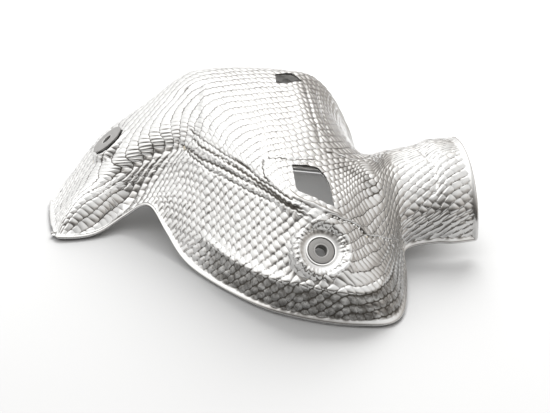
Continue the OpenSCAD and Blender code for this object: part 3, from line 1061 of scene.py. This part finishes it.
@dataclass(frozen=True)
class Finish:
    """A bare metal or fibre finish with handling marks and soiling."""

    name: str
    colour: tuple[float, float, float]
    soil: tuple[float, float, float]
    roughness: float
    spread: float = 0.12
    metallic: float = 1.0
    soiling: float = 0.2
    bump: float = 0.15
    bump_distance: float = 0.00004

    def cover(self, w: TreeWriter) -> bpy.types.NodeSocket:
        """How much soil lies at a place, before it is broken up."""
        place = w.node("ShaderNodeTexCoord").outputs["Object"]
        return w.math("ADD", w.math("MULTIPLY", w.noise(place, 40.0, 2.0), self.soiling), 0.0)

    def material(self, effects: Effects) -> bpy.types.Material:
        """The finish as a material.

        Args:
            effects: The shared node groups.

        Returns:
            A node material.
        """
        made = bpy.data.materials.new(self.name)
        made.use_nodes = True
        w = TreeWriter(made.node_tree)
        shader = made.node_tree.nodes["Principled BSDF"]
        handling = w.node("ShaderNodeGroup", node_tree=effects.handling)
        handling.inputs["Roughness"].default_value = self.roughness
        handling.inputs["Spread"].default_value = self.spread
        soiling = w.node("ShaderNodeGroup", node_tree=effects.soiling)
        soiling.inputs["Colour"].default_value = (*self.colour, 1)
        soiling.inputs["Soil"].default_value = (*self.soil, 1)
        # Cover is soil on the plain finishes; on the embossed skins it is mostly painted shade
        w.put(soiling.inputs["Cover"], self.cover(w))
        w.put(shader.inputs["Base Color"], soiling.outputs["Colour"])
        dulling = w.math("MULTIPLY", soiling.outputs["Mask"], 0.25)
        dulled = w.math("ADD", handling.outputs["Roughness"], dulling)
        w.put(shader.inputs["Roughness"], dulled)
        shader.inputs["Metallic"].default_value = self.metallic
        bump = w.node("ShaderNodeBump")
        bump.inputs["Strength"].default_value = self.bump
        bump.inputs["Distance"].default_value = self.bump_distance
        w.put(bump.inputs["Height"], handling.outputs["Height"])
        w.put(shader.inputs["Normal"], bump.outputs[0])
        return made


@dataclass(frozen=True)
class EmbossedFinish(Finish):
    """Embossed sheet, darkened with painted shade in its valleys and where a point attribute marks folds, seat
    rings and the front wall.
    """

    # Strength of the painted shade in the valleys of the emboss
    valley: float = 0.5

    def cover(self, w: TreeWriter) -> bpy.types.NodeSocket:
        """Painted shade from the emboss valleys and from a point attribute, and a broad cloud of real soil."""
        height = w.node("ShaderNodeAttribute", attribute_name="height").outputs["Fac"]
        painted_shade = w.node("ShaderNodeAttribute", attribute_name="painted_shade").outputs["Fac"]
        valley = w.ramp(height, 0.08, 0.46, self.valley, 0.0)
        return w.math("ADD", w.math("ADD", valley, painted_shade), Finish.cover(self, w))


@dataclass
class Materials:
    """Every material of the shield."""

    effects: Effects = field(default_factory=Effects)

    def __post_init__(self) -> None:
        """Make each finish once."""
        # The skins' soil colours mostly lay painted shade, in emboss valleys, folds, seat rings and the outer
        # front wall; only their noise cloud is dirt
        self.outer = EmbossedFinish(
            "embossed_skin", (0.54, 0.536, 0.526), (0.085, 0.078, 0.068),
            roughness=0.15, soiling=0.1, valley=0.95,
        ).material(self.effects)
        self.inner = EmbossedFinish(
            "inner_skin", (0.74, 0.73, 0.71), (0.16, 0.14, 0.12), roughness=0.4, soiling=0.35, valley=0.5,
        ).material(self.effects)
        ring = Finish("clamp_ring", (0.82, 0.815, 0.8), (0.2, 0.18, 0.16), roughness=0.3)
        steel = Finish(
            "washer_steel", (0.3, 0.294, 0.285), (0.12, 0.11, 0.1), roughness=0.5, spread=0.3, bump=0.5,
        )
        sleeve = Finish("sleeve_steel", (0.38, 0.375, 0.365), (0.1, 0.09, 0.08), roughness=0.42)
        wire = Finish("wire_mesh", (0.45, 0.45, 0.45), (0.1, 0.09, 0.08), roughness=0.35, soiling=0.3)
        mat = Finish(
            "insulation", (0.62, 0.56, 0.45), (0.2, 0.17, 0.13),
            roughness=0.95, metallic=0.0, bump=0.9, bump_distance=0.0003,
        )
        self.ring, self.steel, self.sleeve, self.wire, self.mat = (
            finish.material(self.effects) for finish in (ring, steel, sleeve, wire, mat)
        )


# ---------------------------------------------------------------------------------------------
# Sheets: fine grids made into closed pieces
# ---------------------------------------------------------------------------------------------
@dataclass
class SheetGrid:
    """A fine grid of one layer: its shown side, its hidden side and what is cut from it."""

    shown: Array
    hidden: Array
    normals: Array
    height: Array
    painted_shade: Array
    kept: Array
    flip: bool = False
    backing_stride: int = 5

    def piece(self, name: str, rows: slice, material: bpy.types.Material) -> bpy.types.Object:
        """One closed piece of the sheet, between two of its grid's lines.

        The shown side has every cell. The hidden side is triangulated from a coarser lattice
        and the same border, so that the walls between them close the piece.

        Args:
            name: Name of the piece.
            rows: The cells along the shield that it takes.
            material: Its material.

        Returns:
            The piece as an object.
        """
        kept = self.kept[rows]
        shown = self.shown[rows.start:rows.stop + 1]
        hidden = self.hidden[rows.start:rows.stop + 1]
        n, m = shown.shape[:2]
        ids = np.arange(n * m).reshape(n, m)
        a, b = ids[:-1, :-1][kept], ids[1:, :-1][kept]
        c, d = ids[1:, 1:][kept], ids[:-1, 1:][kept]
        quads = np.column_stack([a, d, c, b])
        back, border = self.backing(kept)
        count = n * m
        back = back + count
        walls = np.column_stack([border[:, 1], border[:, 0], border[:, 0] + count, border[:, 1] + count])
        if self.flip:
            quads, back, walls = quads[:, ::-1], back[:, ::-1], walls[:, ::-1]
        points = np.concatenate([shown.reshape(-1, 3), hidden.reshape(-1, 3)])
        normals = self.normals[rows.start:rows.stop + 1].reshape(-1, 3)
        normals = np.concatenate([normals, -normals])
        faces = [quads, back, walls]
        points, faces, source = welded(points, faces)
        piece = mesh_object(name, points, faces, material)
        self.dress(piece.data, rows, normals, source, quad_count=len(quads))
        return piece

    def backing(self, kept: Array) -> tuple[Array, Array]:
        """Triangles of the hidden side and the border edges of the kept cells.

        Args:
            kept: Which cells are kept.

        Returns:
            Triangles by grid point number, facing inwards, and border edges with the kept
            cell on their left when seen from outside.
        """
        n, m = kept.shape[0] + 1, kept.shape[1] + 1
        padded = np.zeros((n + 1, m + 1), bool)
        padded[1:-1, 1:-1] = kept
        below, above = padded[:-1, 1:-1], padded[1:, 1:-1]
        left, right = padded[1:-1, :-1], padded[1:-1, 1:]
        ids = np.arange(n * m).reshape(n, m)
        edges = []
        i, j = np.nonzero(above & ~below)
        edges.append(np.column_stack([ids[i, j], ids[i, j + 1]]))
        i, j = np.nonzero(~above & below)
        edges.append(np.column_stack([ids[i, j + 1], ids[i, j]]))
        i, j = np.nonzero(right & ~left)
        edges.append(np.column_stack([ids[i + 1, j], ids[i, j]]))
        i, j = np.nonzero(~right & left)
        edges.append(np.column_stack([ids[i, j], ids[i + 1, j]]))
        border = np.concatenate(edges)
        on_border = np.zeros((n, m), bool)
        on_border.ravel()[border.ravel()] = True
        used = padded[:-1, :-1] & padded[1:, :-1] & padded[:-1, 1:] & padded[1:, 1:]
        clear = used.copy()
        for shift in range(1, self.backing_stride // 2 + 1):
            for axis in (0, 1):
                clear &= np.roll(used, shift, axis) & np.roll(used, -shift, axis)
        lattice = np.zeros((n, m), bool)
        lattice[:: self.backing_stride, :: self.backing_stride] = True
        chosen = np.nonzero((on_border | (lattice & clear)).ravel())[0]
        where = np.full(n * m, -1)
        where[chosen] = np.arange(len(chosen))
        spots = [Vector((float(k // m), float(k % m))) for k in chosen]
        result = delaunay_2d_cdt(spots, where[border].tolist(), [], 1, 1e-6)
        origin = [chosen[o[0]] if o else -1 for o in result[3]]
        triangles = np.array([[origin[k] for k in f] for f in result[2] if len(f) == 3])
        centre_i = (triangles // m).mean(axis=1)
        centre_j = (triangles % m).mean(axis=1)
        inside = kept[np.clip(centre_i.astype(int), 0, n - 2), np.clip(centre_j.astype(int), 0, m - 2)]
        return triangles[inside], border

    def dress(self, mesh: bpy.types.Mesh, rows: slice, normals: Array, source: Array, quad_count: int) -> None:
        """Give a piece's mesh its point attributes and the whole grid's normals.

        Args:
            mesh: The mesh.
            rows: The cells along the shield that it takes.
            normals: Normals of the points before they were welded.
            source: For each point of the mesh, its number before welding.
            quad_count: How many of the first faces are the shown side.
        """
        points = slice(rows.start, rows.stop + 1)
        # The emboss height and the painted shade travel as point attributes
        for name, grid in (("height", self.height), ("painted_shade", self.painted_shade)):
            values = np.tile(grid[points].ravel(), 2)
            set_attribute(mesh, name, values[source])
        total = len(mesh.loops)
        vertex = np.zeros(total, np.int32)
        mesh.loops.foreach_get("vertex_index", vertex)
        face_of = np.zeros(len(mesh.polygons), np.int32)
        mesh.polygons.foreach_get("loop_total", face_of)
        owner = np.repeat(np.arange(len(face_of)), face_of)
        face_normals = np.zeros(len(mesh.polygons) * 3, np.float32)
        mesh.polygons.foreach_get("normal", face_normals)
        face_normals = face_normals.reshape(-1, 3)[owner]
        sign = -1.0 if self.flip else 1.0
        smooth_normals = sign * normals[source][vertex]
        agree = np.sum(smooth_normals * face_normals, axis=1) > 0.25
        shown = owner < quad_count
        chosen = np.where((agree & shown)[:, None], smooth_normals, face_normals)
        mesh.normals_split_custom_set(chosen.tolist())


def welded(points: Array, faces: list[Array]) -> tuple[Array, list, Array]:
    """Merge points in the same place and drop the faces that collapse.

    Args:
        points: Points in millimetres.
        faces: Arrays of faces.

    Returns:
        The merged points that faces use, the faces as lists, and for each kept point one of
        the numbers that it had.
    """
    keys = np.round(points * 1e4).astype(np.int64)
    _, first, inverse = np.unique(keys, axis=0, return_index=True, return_inverse=True)
    inverse = inverse.ravel()
    out = []
    for block in faces:
        block = inverse[block]
        plain = np.ones(len(block), bool)
        for k in range(block.shape[1]):
            plain &= block[:, k] != block[:, (k + 1) % block.shape[1]]
        if block.shape[1] == 4:
            plain &= (block[:, 0] != block[:, 2]) & (block[:, 1] != block[:, 3])
        out += block[plain].tolist()
        for face in block[~plain].tolist():
            slim = list(dict.fromkeys(face))
            if len(slim) >= 3:
                out.append(slim)
    used = np.unique(np.fromiter((corner for face in out for corner in face), np.int64))
    place = np.full(len(first), -1)
    place[used] = np.arange(len(used))
    lookup = place.tolist()
    return points[first[used]], [[lookup[k] for k in f] for f in out], first[used]


@dataclass
class SheetWork:
    """The two embossed skins, the hem that holds them and the insulation between them."""

    materials: Materials
    surface: PressedSurface = field(default_factory=PressedSurface)
    emboss: Emboss = field(default_factory=Emboss)
    skin_t: float = 0.6
    core_top: float = 0.7
    core_bottom: float = 1.3
    inner_top: float = 1.4
    stack_t: float = 2.0
    hem_r: float = 1.35
    hem_turns: int = 10
    hem_leg_rows: int = 4
    hole_r: float = 10.35
    pad_hole_r: float = 14.0
    pad_margin: float = 3.0
    outer_step: float = 0.68
    inner_step: float = 1.0
    pad_step: float = 2.0
    # Painted shade over the turned-down front wall, standing in for the dark room that it reflects
    front_wall_shade: float = 0.62
    marks: tuple[Mark, ...] = MARKS
    tree: bpy.types.NodeTree | None = None

    def cuts(self, hole_r: float, margin: float = 0.0) -> tuple[object, ...]:
        """What is cut from a layer: the bolt holes, the window and the slot."""
        holes = tuple(RoundHole(seat, hole_r) for seat in self.surface.seats)
        return (*holes, PlanHole(WINDOW_OUTLINE, margin), PlanHole(SLOT_OUTLINE, margin))

    def relief(self, blank: Blank) -> Array:
        """How much emboss each point takes: none at the rim and on the bolt seats."""
        relief = smooth((blank.rim_distance(blank.sheet) - 1.5) / 2.5)
        for seat in self.surface.seats:
            away = RoundHole(seat, 0.0).outside(blank.points)
            relief = relief * smooth((away - 13.0) / 4.5)
        return relief * (1 - blank.plain)

    def painted_shade(self, points: Array) -> Array:
        """Where painted shade darkens the skin: the fold beside the window and a ring round each bolt seat."""
        crotch = self.surface.path(((9.5, 5.3), (9.78, 5.71), (10.16, 6.29), (10.4, 6.8)))
        d, _ = distance_to_path(points, crotch)
        painted_shade = 0.55 * np.exp(-((d / 8.0) ** 2))
        for seat in self.surface.seats:
            away = RoundHole(seat, 0.0).outside(points)
            painted_shade = painted_shade + 0.22 * np.exp(-(((away - 14.0) / 4.0) ** 2))
        return painted_shade

    @staticmethod
    def wall_band(blank: Blank) -> Array:
        """Where the turned-down front wall is, from 0 to 1."""
        across = smooth((blank.vs - 9.6) / 0.35) * smooth((10.95 - blank.vs) / 0.1)
        along = smooth((blank.us - 5.6) / 1.0) * smooth((11.0 - blank.us) / 1.0)
        return along[:, None] * across[None, :]

    def cut(self, points: Array, normals: Array, cuts: tuple[object, ...]) -> tuple[Array, Array]:
        """Cut holes in a grid, its points nearest each edge slid onto it.

        Args:
            points: The grid's points.
            normals: Their outward directions.
            cuts: The holes.

        Returns:
            The moved points, and which cells are kept.
        """
        points = points.copy()
        centres = (points[:-1, :-1] + points[1:, :-1] + points[:-1, 1:] + points[1:, 1:]) / 4
        kept = np.ones(centres.shape[:2], bool)
        for hole in cuts:
            inside = hole.outside(centres) < 0
            kept &= ~inside
            near = np.zeros(points.shape[:2], int)
            for di in (0, 1):
                for dj in (0, 1):
                    near[di:di + inside.shape[0], dj:dj + inside.shape[1]] += inside
            edge = (near > 0) & (near < 4)
            points[edge] = hole.snapped(points[edge], normals[edge])
        return points, kept

    def hemmed(self, face: Array, out: Array) -> tuple[Array, Array, Array]:
        """Roll the sheet round the rim and fold it back under the stack.

        Args:
            face: Points of the outer face.
            out: Their outward directions.

        Returns:
            The grid with the rolled rows added on every side, its inner side at the skin's
            thickness, and for every point the row and column that it came from.
        """
        turns, legs = self.hem_turns, self.hem_leg_rows
        extra = turns + legs
        n, m = face.shape[:2]
        i, j = np.meshgrid(np.arange(-extra, n + extra), np.arange(-extra, m + extra), indexing="ij")
        over_i = np.where(i < 0, -i, np.maximum(i - n + 1, 0))
        over_j = np.where(j < 0, -j, np.maximum(j - m + 1, 0))
        k = np.maximum(over_i, over_j)
        leg = np.maximum(k - turns, 0)
        a = np.clip(i, leg, n - 1 - leg)
        b = np.clip(j, leg, m - 1 - leg)
        angle = np.minimum(k, turns) * math.pi / turns
        edge_a, edge_b = np.clip(i, 0, n - 1), np.clip(j, 0, m - 1)
        at_start, at_end = face[0] - face[1], face[n - 1] - face[n - 2]
        du = np.where((i < 0)[..., None], at_start[edge_b], at_end[edge_b])
        at_rear, at_front = face[:, 0] - face[:, 1], face[:, m - 1] - face[:, m - 2]
        dv = np.where((j < 0)[..., None], at_rear[edge_a], at_front[edge_a])
        away = over_i[..., None] * unit(du) + over_j[..., None] * unit(dv)
        normal = out[a, b]
        away = unit(away - np.sum(away * normal, axis=-1, keepdims=True) * normal)
        sine, cosine = np.sin(angle)[..., None], np.cos(angle)[..., None]
        results = []
        for depth in (0.0, self.skin_t):
            arm = self.hem_r - depth
            rolled = face[a, b] - self.hem_r * normal + arm * (sine * away + cosine * normal)
            results.append(np.where((k > 0)[..., None], rolled, face[a, b] - depth * normal))
        return results[0], results[1], np.stack([a, b], axis=-1)

    def outer_skin(self) -> None:
        """Build the outer skin with its hem, in strips that meet edge to edge."""
        blank = Blank(self.surface, self.outer_step, self.marks)
        log.info("outer grid %s", blank.points.shape)
        shown, hidden, origin = self.hemmed(blank.points, blank.out)
        a, b = origin[..., 0], origin[..., 1]
        extra = self.hem_turns + self.hem_leg_rows
        relief = np.zeros(shown.shape[:2])
        relief[extra:-extra, extra:-extra] = self.relief(blank)
        sheet = blank.sheet[a, b]
        normals = outward(shown)
        normals = np.where(np.linalg.norm(normals, axis=-1, keepdims=True) < 0.5, blank.out[a, b], normals)
        pressed, height = self.emboss.press(self.tree, shown, normals, sheet, relief, self.materials.outer)
        normals = outward(pressed)
        pressed, kept = self.cut(pressed, normals, self.cuts(self.hole_r))
        hidden, _ = self.cut(hidden, normals, self.cuts(self.hole_r))
        # Painted shade: the fold and seat rings, the pressed lines and the darker turned-down front wall
        painted_shade = self.painted_shade(shown) + (blank.painted_shade + self.front_wall_shade * self.wall_band(blank))[a, b]
        grid = SheetGrid(pressed, hidden, normals, height, painted_shade, kept)
        names = ("wing_tip", "wing", "shoulder", "dome", "window", "neck", "collar")
        self.strips(grid, "outer_skin", names, self.materials.outer, ("outer_skin",))

    def strips(
        self, grid: SheetGrid, name: str, parts: tuple[str, ...], material: bpy.types.Material,
        nodes: tuple[str, ...],
    ) -> None:
        """Split a sheet into strips along the shield and hand each one over.

        Args:
            grid: The sheet.
            name: First part of the pieces' names.
            parts: Last parts of their names, from the wing to the collar.
            material: Their material.
            nodes: CAD nodes that they stand for.
        """
        total = grid.kept.shape[0]
        stops = [round(total * k / len(parts)) for k in range(len(parts) + 1)]
        for part, start, stop in zip(parts, stops[:-1], stops[1:]):
            piece = grid.piece(f"{name}_{part}" if part else name, slice(start, stop), material)
            hand_over(piece, Body.SHIELD, nodes)

    def inner_skin(self) -> None:
        """Build the inner skin, its emboss standing down into the shield's hollow."""
        blank = Blank(self.surface, self.inner_step, self.marks)
        shown = blank.points - self.stack_t * blank.out
        hidden = blank.points - self.inner_top * blank.out
        relief, material = self.relief(blank), self.materials.inner
        pressed, height = self.emboss.press(self.tree, shown, -blank.out, blank.sheet, relief, material)
        normals = outward(pressed)
        cuts = self.cuts(self.hole_r)
        pressed, kept = self.cut(pressed, normals, cuts)
        hidden, _ = self.cut(hidden, normals, cuts)
        # Painted shade at the fold and the seat rings, stronger on the inner skin
        grid = SheetGrid(pressed, hidden, normals, height, self.painted_shade(shown) * 1.4, kept, flip=True)
        self.strips(grid, "inner_skin", ("wing", "dome", "collar"), material, ("inner_skin",))

    def pads(self) -> None:
        """Build the insulation pads between the skins."""
        blank = Blank(self.surface, self.pad_step, self.marks)
        top = blank.points - (self.core_top + 0.05) * blank.out
        bottom = blank.points - (self.core_bottom - 0.05) * blank.out
        cuts = self.cuts(self.pad_hole_r, self.pad_margin)
        top, kept = self.cut(top, blank.out, cuts)
        bottom, _ = self.cut(bottom, blank.out, cuts)
        u, v = (blank.us[:-1] + blank.us[1:]) / 2, (blank.vs[:-1] + blank.vs[1:]) / 2
        clear = blank.rim_distance(blank.sheet) > self.pad_margin
        inside = clear[:-1, :-1] & clear[1:, 1:]
        wing_end, collar_start, skirt_start = 4.6, 11.4, 6.1
        regions = {
            "wing_pad": (u < wing_end)[:, None] & np.ones(len(v), bool),
            "dome_pad": ((u > wing_end) & (u < collar_start))[:, None] & (v < skirt_start),
            "skirt_pad": ((u > wing_end) & (u < collar_start))[:, None] & (v > skirt_start),
            "collar_pad": (u > collar_start)[:, None] & np.ones(len(v), bool),
        }
        flat = np.zeros(top.shape[:2])
        for node, region in regions.items():
            grid = SheetGrid(top, bottom, blank.out, flat, flat, kept & inside & region)
            piece = grid.piece(f"{node}_mat", slice(0, kept.shape[0]), self.materials.mat)
            hand_over(piece, Body.SHIELD, (node,))

    def build(self) -> None:
        """Build every sheet of the shield."""
        self.tree = self.emboss.tree()
        self.outer_skin()
        self.inner_skin()
        self.pads()


# ---------------------------------------------------------------------------------------------
# Bolt points
# ---------------------------------------------------------------------------------------------
def rounded(profile: list[tuple[float, float]], radius: float, steps: int = 4) -> list[tuple[float, float]]:
    """A closed profile with each corner rounded.

    Args:
        profile: Corners as (radius, height) pairs.
        radius: Radius of the rounding, less where an edge is short.
        steps: Points in each rounded corner, less one.

    Returns:
        The rounded profile.
    """
    ring = np.array(profile, float)
    out = []
    for before, here, after in zip(np.roll(ring, 1, axis=0), ring, np.roll(ring, -1, axis=0)):
        reach = min(radius, 0.45 * np.linalg.norm(before - here), 0.45 * np.linalg.norm(after - here))
        a, b = here + unit(before - here) * reach, here + unit(after - here) * reach
        for t in np.linspace(0, 1, steps + 1):
            out.append(tuple((1 - t) ** 2 * a + 2 * t * (1 - t) * here + t * t * b))
    return out


@dataclass
class BoltPoint:
    """One floating bolt point: clamp ring, knitted cushion, sleeve and two washers."""

    name: str
    seat: Seat
    float_body: Body
    bush_body: Body
    materials: Materials
    face_r: float = 9.25
    face_low: float = -0.2
    face_t: float = 1.2
    sleeve_r: float = 5.5
    bore_r: float = 4.2
    back_r: float = 8.5
    back_high: float = -4.1
    back_t: float = 1.2
    foot: float = 1.2
    ring_inner: float = 9.85
    ring_wall: float = 0.4
    lip: float = 0.7
    segments: int = 96

    def turned(
        self, name: str, profile: list[tuple[float, float]], material: bpy.types.Material,
        wobble: Callable | None = None,
    ) -> bpy.types.Object:
        """A ring turned about the seat's axis.

        Args:
            name: Name of the piece.
            profile: Closed profile as (radius, height) pairs, running anticlockwise.
            material: Its material.
            wobble: Optional function of angle, radius and height that returns added height.

        Returns:
            The piece as an object.
        """
        p = np.array(profile, float)
        angles = np.arange(self.segments) * 2 * math.pi / self.segments
        n, side = self.seat.normal, self.seat.side
        up = np.cross(n, side)
        direction = np.cos(angles)[:, None] * side + np.sin(angles)[:, None] * up
        height = np.tile(p[:, 1], (self.segments, 1))
        if wobble is not None:
            height = height + wobble(angles[:, None], p[None, :, 0], p[None, :, 1])
        points = np.array(self.seat.centre) + direction[:, None, :] * p[None, :, :1] + height[..., None] * n
        rows, columns = points.shape[:2]
        ids = np.arange(rows * columns).reshape(rows, columns)
        nxt = np.roll(ids, -1, axis=0)
        quads = np.stack([ids, nxt, np.roll(nxt, -1, axis=1), np.roll(ids, -1, axis=1)], axis=-1)
        quads = quads.reshape(-1, 4)
        piece = mesh_object(name, points.reshape(-1, 3), quads.tolist(), material)
        piece.data.set_sharp_from_angle(angle=math.radians(50))
        return piece

    def clamp_ring(self) -> None:
        """The ring that grips the skins, with rolled lips."""
        inner, wall = self.ring_inner, self.ring_inner + self.ring_wall
        lip, shelf = wall + self.lip, 7.0
        profile = [
            (inner, -3.1), (shelf, -3.1), (shelf, -3.9), (wall, -3.9), (wall, -2.9), (lip, -2.9),
            (lip, -2.1), (wall, -2.1), (wall, 0.1), (lip, 0.1), (lip, 0.9), (inner, 0.9),
        ]
        piece = self.turned(f"{self.name}_clamp_ring_stamping", rounded(profile, 0.32), self.materials.ring)
        hand_over(piece, Body.SHIELD, (f"{self.name}_clamp_ring",))

    def washers(self) -> None:
        """The face washer, lightly dished and burred, and the back washer."""
        low, high = self.face_low, self.face_low + self.face_t

        def dished(a: Array, r: Array, h: Array) -> Array:
            rim = smooth((r - self.sleeve_r - 1.2) / (self.face_r - self.sleeve_r))
            ripple = 0.03 * np.sin(5 * a + 1.0) * rim
            return np.where(h > (low + high) / 2, -0.22 * smooth((r - self.face_r + 2.2) / 2.2) + ripple, 0.0)

        steps = np.linspace(self.face_r - 0.3, self.sleeve_r + 0.3, 9)
        corners = [(self.sleeve_r, low), (self.face_r, low), (self.face_r, high), (self.sleeve_r, high)]
        profile = rounded(corners, 0.3)
        cut = next(k for k, (r, h) in enumerate(profile) if h > high - 1e-6 and r < self.face_r - 0.2)
        profile = profile[:cut + 1] + [(float(r), high) for r in steps[1:-1]] + profile[cut + 1:]
        piece = self.turned(f"{self.name}_face_washer_disc", profile, self.materials.steel, dished)
        hand_over(piece, self.bush_body, (f"{self.name}_face_washer",))
        top = self.back_high
        bottom = top - self.back_t
        corners = [(self.sleeve_r, bottom), (self.back_r, bottom), (self.back_r, top), (self.sleeve_r, top)]
        profile = rounded(corners, 0.25)
        piece = self.turned(f"{self.name}_back_washer_disc", profile, self.materials.steel)
        hand_over(piece, self.bush_body, (f"{self.name}_back_washer",))

    def sleeve(self) -> None:
        """The turned sleeve, chamfered at both ends of its bore."""
        low, high = self.back_high - self.back_t - self.foot, self.face_low + self.face_t
        profile = [
            (self.bore_r + 0.35, low), (self.sleeve_r - 0.2, low), (self.sleeve_r, low + 0.2),
            (self.sleeve_r, high - 0.1), (self.sleeve_r - 0.1, high), (self.bore_r + 0.4, high),
            (self.bore_r, high - 0.4), (self.bore_r, low + 0.35),
        ]
        piece = self.turned(f"{self.name}_sleeve_turning", rounded(profile, 0.08, 2), self.materials.sleeve)
        hand_over(piece, self.bush_body, (f"{self.name}_sleeve",))

    def cushion(self, knit: Knit, tree: bpy.types.NodeTree) -> None:
        """The knitted wire cushion, moved from its own axis onto the seat's."""
        mesh = knit.mesh(tree, self.materials.wire, self.face_low + 0.2)
        mesh.name = f"{self.name}_cushion_knit"
        co = np.zeros(len(mesh.vertices) * 3, np.float32)
        mesh.vertices.foreach_get("co", co)
        co = co.reshape(-1, 3).astype(float)
        n, side = self.seat.normal, self.seat.side
        up = np.cross(n, side)
        co = np.array(self.seat.centre) * MM + co[:, :1] * side + co[:, 1:2] * up + co[:, 2:] * n
        mesh.vertices.foreach_set("co", co.astype(np.float32).ravel())
        mesh.polygons.foreach_set("use_smooth", np.ones(len(mesh.polygons), bool))
        mesh.update()
        piece = bpy.data.objects.new(mesh.name, mesh)
        bpy.context.scene.collection.objects.link(piece)
        hand_over(piece, self.float_body, (f"{self.name}_cushion",))

    def build(self, knit: Knit, tree: bpy.types.NodeTree) -> None:
        """Build the whole bolt point."""
        self.clamp_ring()
        self.washers()
        self.sleeve()
        self.cushion(knit, tree)


# ---------------------------------------------------------------------------------------------
# Studio
# ---------------------------------------------------------------------------------------------
@dataclass
class Studio:
    """A pale floor, a broad soft light over it and the camera."""

    target: Point = (0.014, 0.011, 0.02349)
    distance: float = 1.0
    elevation: float = math.radians(30)
    lens: float = 85.0
    floor_size: float = 8.0
    floor_shade: float = 0.34
    room_level: float = 0.13
    overhead_level: float = 0.8
    key_level: float = 1.4
    key_edges: tuple[float, float] = (0.3, 0.85)
    key_direction: Point = (-0.627, 0.527, 0.574)
    side_level: float = 0.5
    side_edges: tuple[float, float] = (0.1, 0.9)
    side_direction: Point = (0.84, 0.14, 0.52)
    key_place: Point = (0.25, 1.15, 0.95)
    key_size: tuple[float, float] = (1.1, 1.1)
    key_energy: float = 76
    fill_place: Point = (0.01, 0.055, 0.075)
    fill_energy: float = 0.05

    def floor(self) -> None:
        """Lay the floor."""
        half = self.floor_size / 2
        mesh = bpy.data.meshes.new("floor")
        corners = [(-half, -half, 0), (half, -half, 0), (half, half, 0), (-half, half, 0)]
        mesh.from_pydata(corners, [], [(0, 1, 2, 3)])
        paint = bpy.data.materials.new("floor_paint")
        paint.use_nodes = True
        shader = paint.node_tree.nodes["Principled BSDF"]
        shader.inputs["Base Color"].default_value = (*(self.floor_shade,) * 3, 1)
        shader.inputs["Roughness"].default_value = 0.9
        mesh.materials.append(paint)
        floor = bpy.data.objects.new("floor", mesh)
        bpy.context.scene.collection.objects.link(floor)

    def surroundings(self) -> None:
        """A room lit from behind on the left, and dim and warm on the camera's side."""
        world = bpy.data.worlds.new("studio")
        bpy.context.scene.world = world
        world.use_nodes = True
        w = TreeWriter(world.node_tree)
        direction = w.node("ShaderNodeTexCoord").outputs["Generated"]
        split = w.node("ShaderNodeSeparateXYZ")
        w.put(split.inputs[0], direction)
        patches = []
        for toward, edges in ((self.key_direction, self.key_edges), (self.side_direction, self.side_edges)):
            dot = w.node("ShaderNodeVectorMath", operation="DOT_PRODUCT")
            w.put(dot.inputs[0], direction)
            dot.inputs[1].default_value = toward
            patches.append(w.ramp(dot.outputs["Value"], *edges))
        lit, beside = patches
        overhead = w.ramp(split.outputs[2], 0.15, 0.9)
        level = w.math("ADD", self.room_level, w.math("MULTIPLY", lit, self.key_level))
        level = w.math("ADD", level, w.math("MULTIPLY", beside, self.side_level))
        level = w.math("ADD", level, w.math("MULTIPLY", overhead, self.overhead_level))
        background = world.node_tree.nodes["Background"]
        tint = w.mix(w.math("MAXIMUM", lit, overhead), (1.0, 0.94, 0.88, 1), (1, 1, 1, 1))
        w.put(background.inputs["Color"], tint)
        w.put(background.inputs["Strength"], level)

    def lights(self) -> None:
        """One broad soft light above and behind, a little to the right, which casts the shadow."""
        data = bpy.data.lights.new("key", "AREA")
        data.shape = "RECTANGLE"
        data.size, data.size_y = self.key_size
        data.energy = self.key_energy
        light = bpy.data.objects.new("key", data)
        light.location = Vector(self.key_place)
        light.rotation_euler = (-light.location).to_track_quat("-Z", "Y").to_euler()
        light.visible_glossy = False
        bpy.context.scene.collection.objects.link(light)

    def fill(self) -> None:
        """A small light under the dome, which brightens what shows through its openings."""
        data = bpy.data.lights.new("fill", "AREA")
        data.shape = "RECTANGLE"
        data.size, data.size_y = 0.09, 0.06
        data.energy = self.fill_energy
        light = bpy.data.objects.new("fill", data)
        light.location = Vector(self.fill_place)
        bpy.context.scene.collection.objects.link(light)

    def camera(self) -> None:
        """Set the camera up in front of the shield, looking down at it."""
        data = bpy.data.cameras.new("camera")
        data.lens = self.lens
        data.sensor_width = 36.0
        camera = bpy.data.objects.new("camera", data)
        target = Vector(self.target)
        back = Vector((0, -math.cos(self.elevation), math.sin(self.elevation)))
        camera.location = target + self.distance * back
        camera.rotation_euler = (-back).to_track_quat("-Z", "Y").to_euler()
        bpy.context.scene.collection.objects.link(camera)
        bpy.context.scene.camera = camera

    def build(self) -> None:
        """Build the studio."""
        bpy.context.scene.view_settings.view_transform = "Standard"
        self.floor()
        self.surroundings()
        self.lights()
        self.fill()
        self.camera()


def main() -> None:
    """Build the studio, the sheets and the bolt points in order."""
    logging.basicConfig(level=logging.INFO, format="%(name)s: %(message)s")
    Studio().build()
    materials = Materials()
    SheetWork(materials).build()
    knit = Knit()
    tree = knit.tree()
    points = (
        BoltPoint("front", FRONT_SEAT, Body.FRONT_FLOAT, Body.FRONT_BUSH, materials),
        BoltPoint("wing", WING_SEAT, Body.WING_FLOAT, Body.WING_BUSH, materials, face_r=14.25, face_low=1.0),
        BoltPoint("rear", REAR_SEAT, Body.REAR_FLOAT, Body.REAR_BUSH, materials),
    )
    for point in points:
        point.build(knit, tree)


if __name__ == "__main__":
    main()
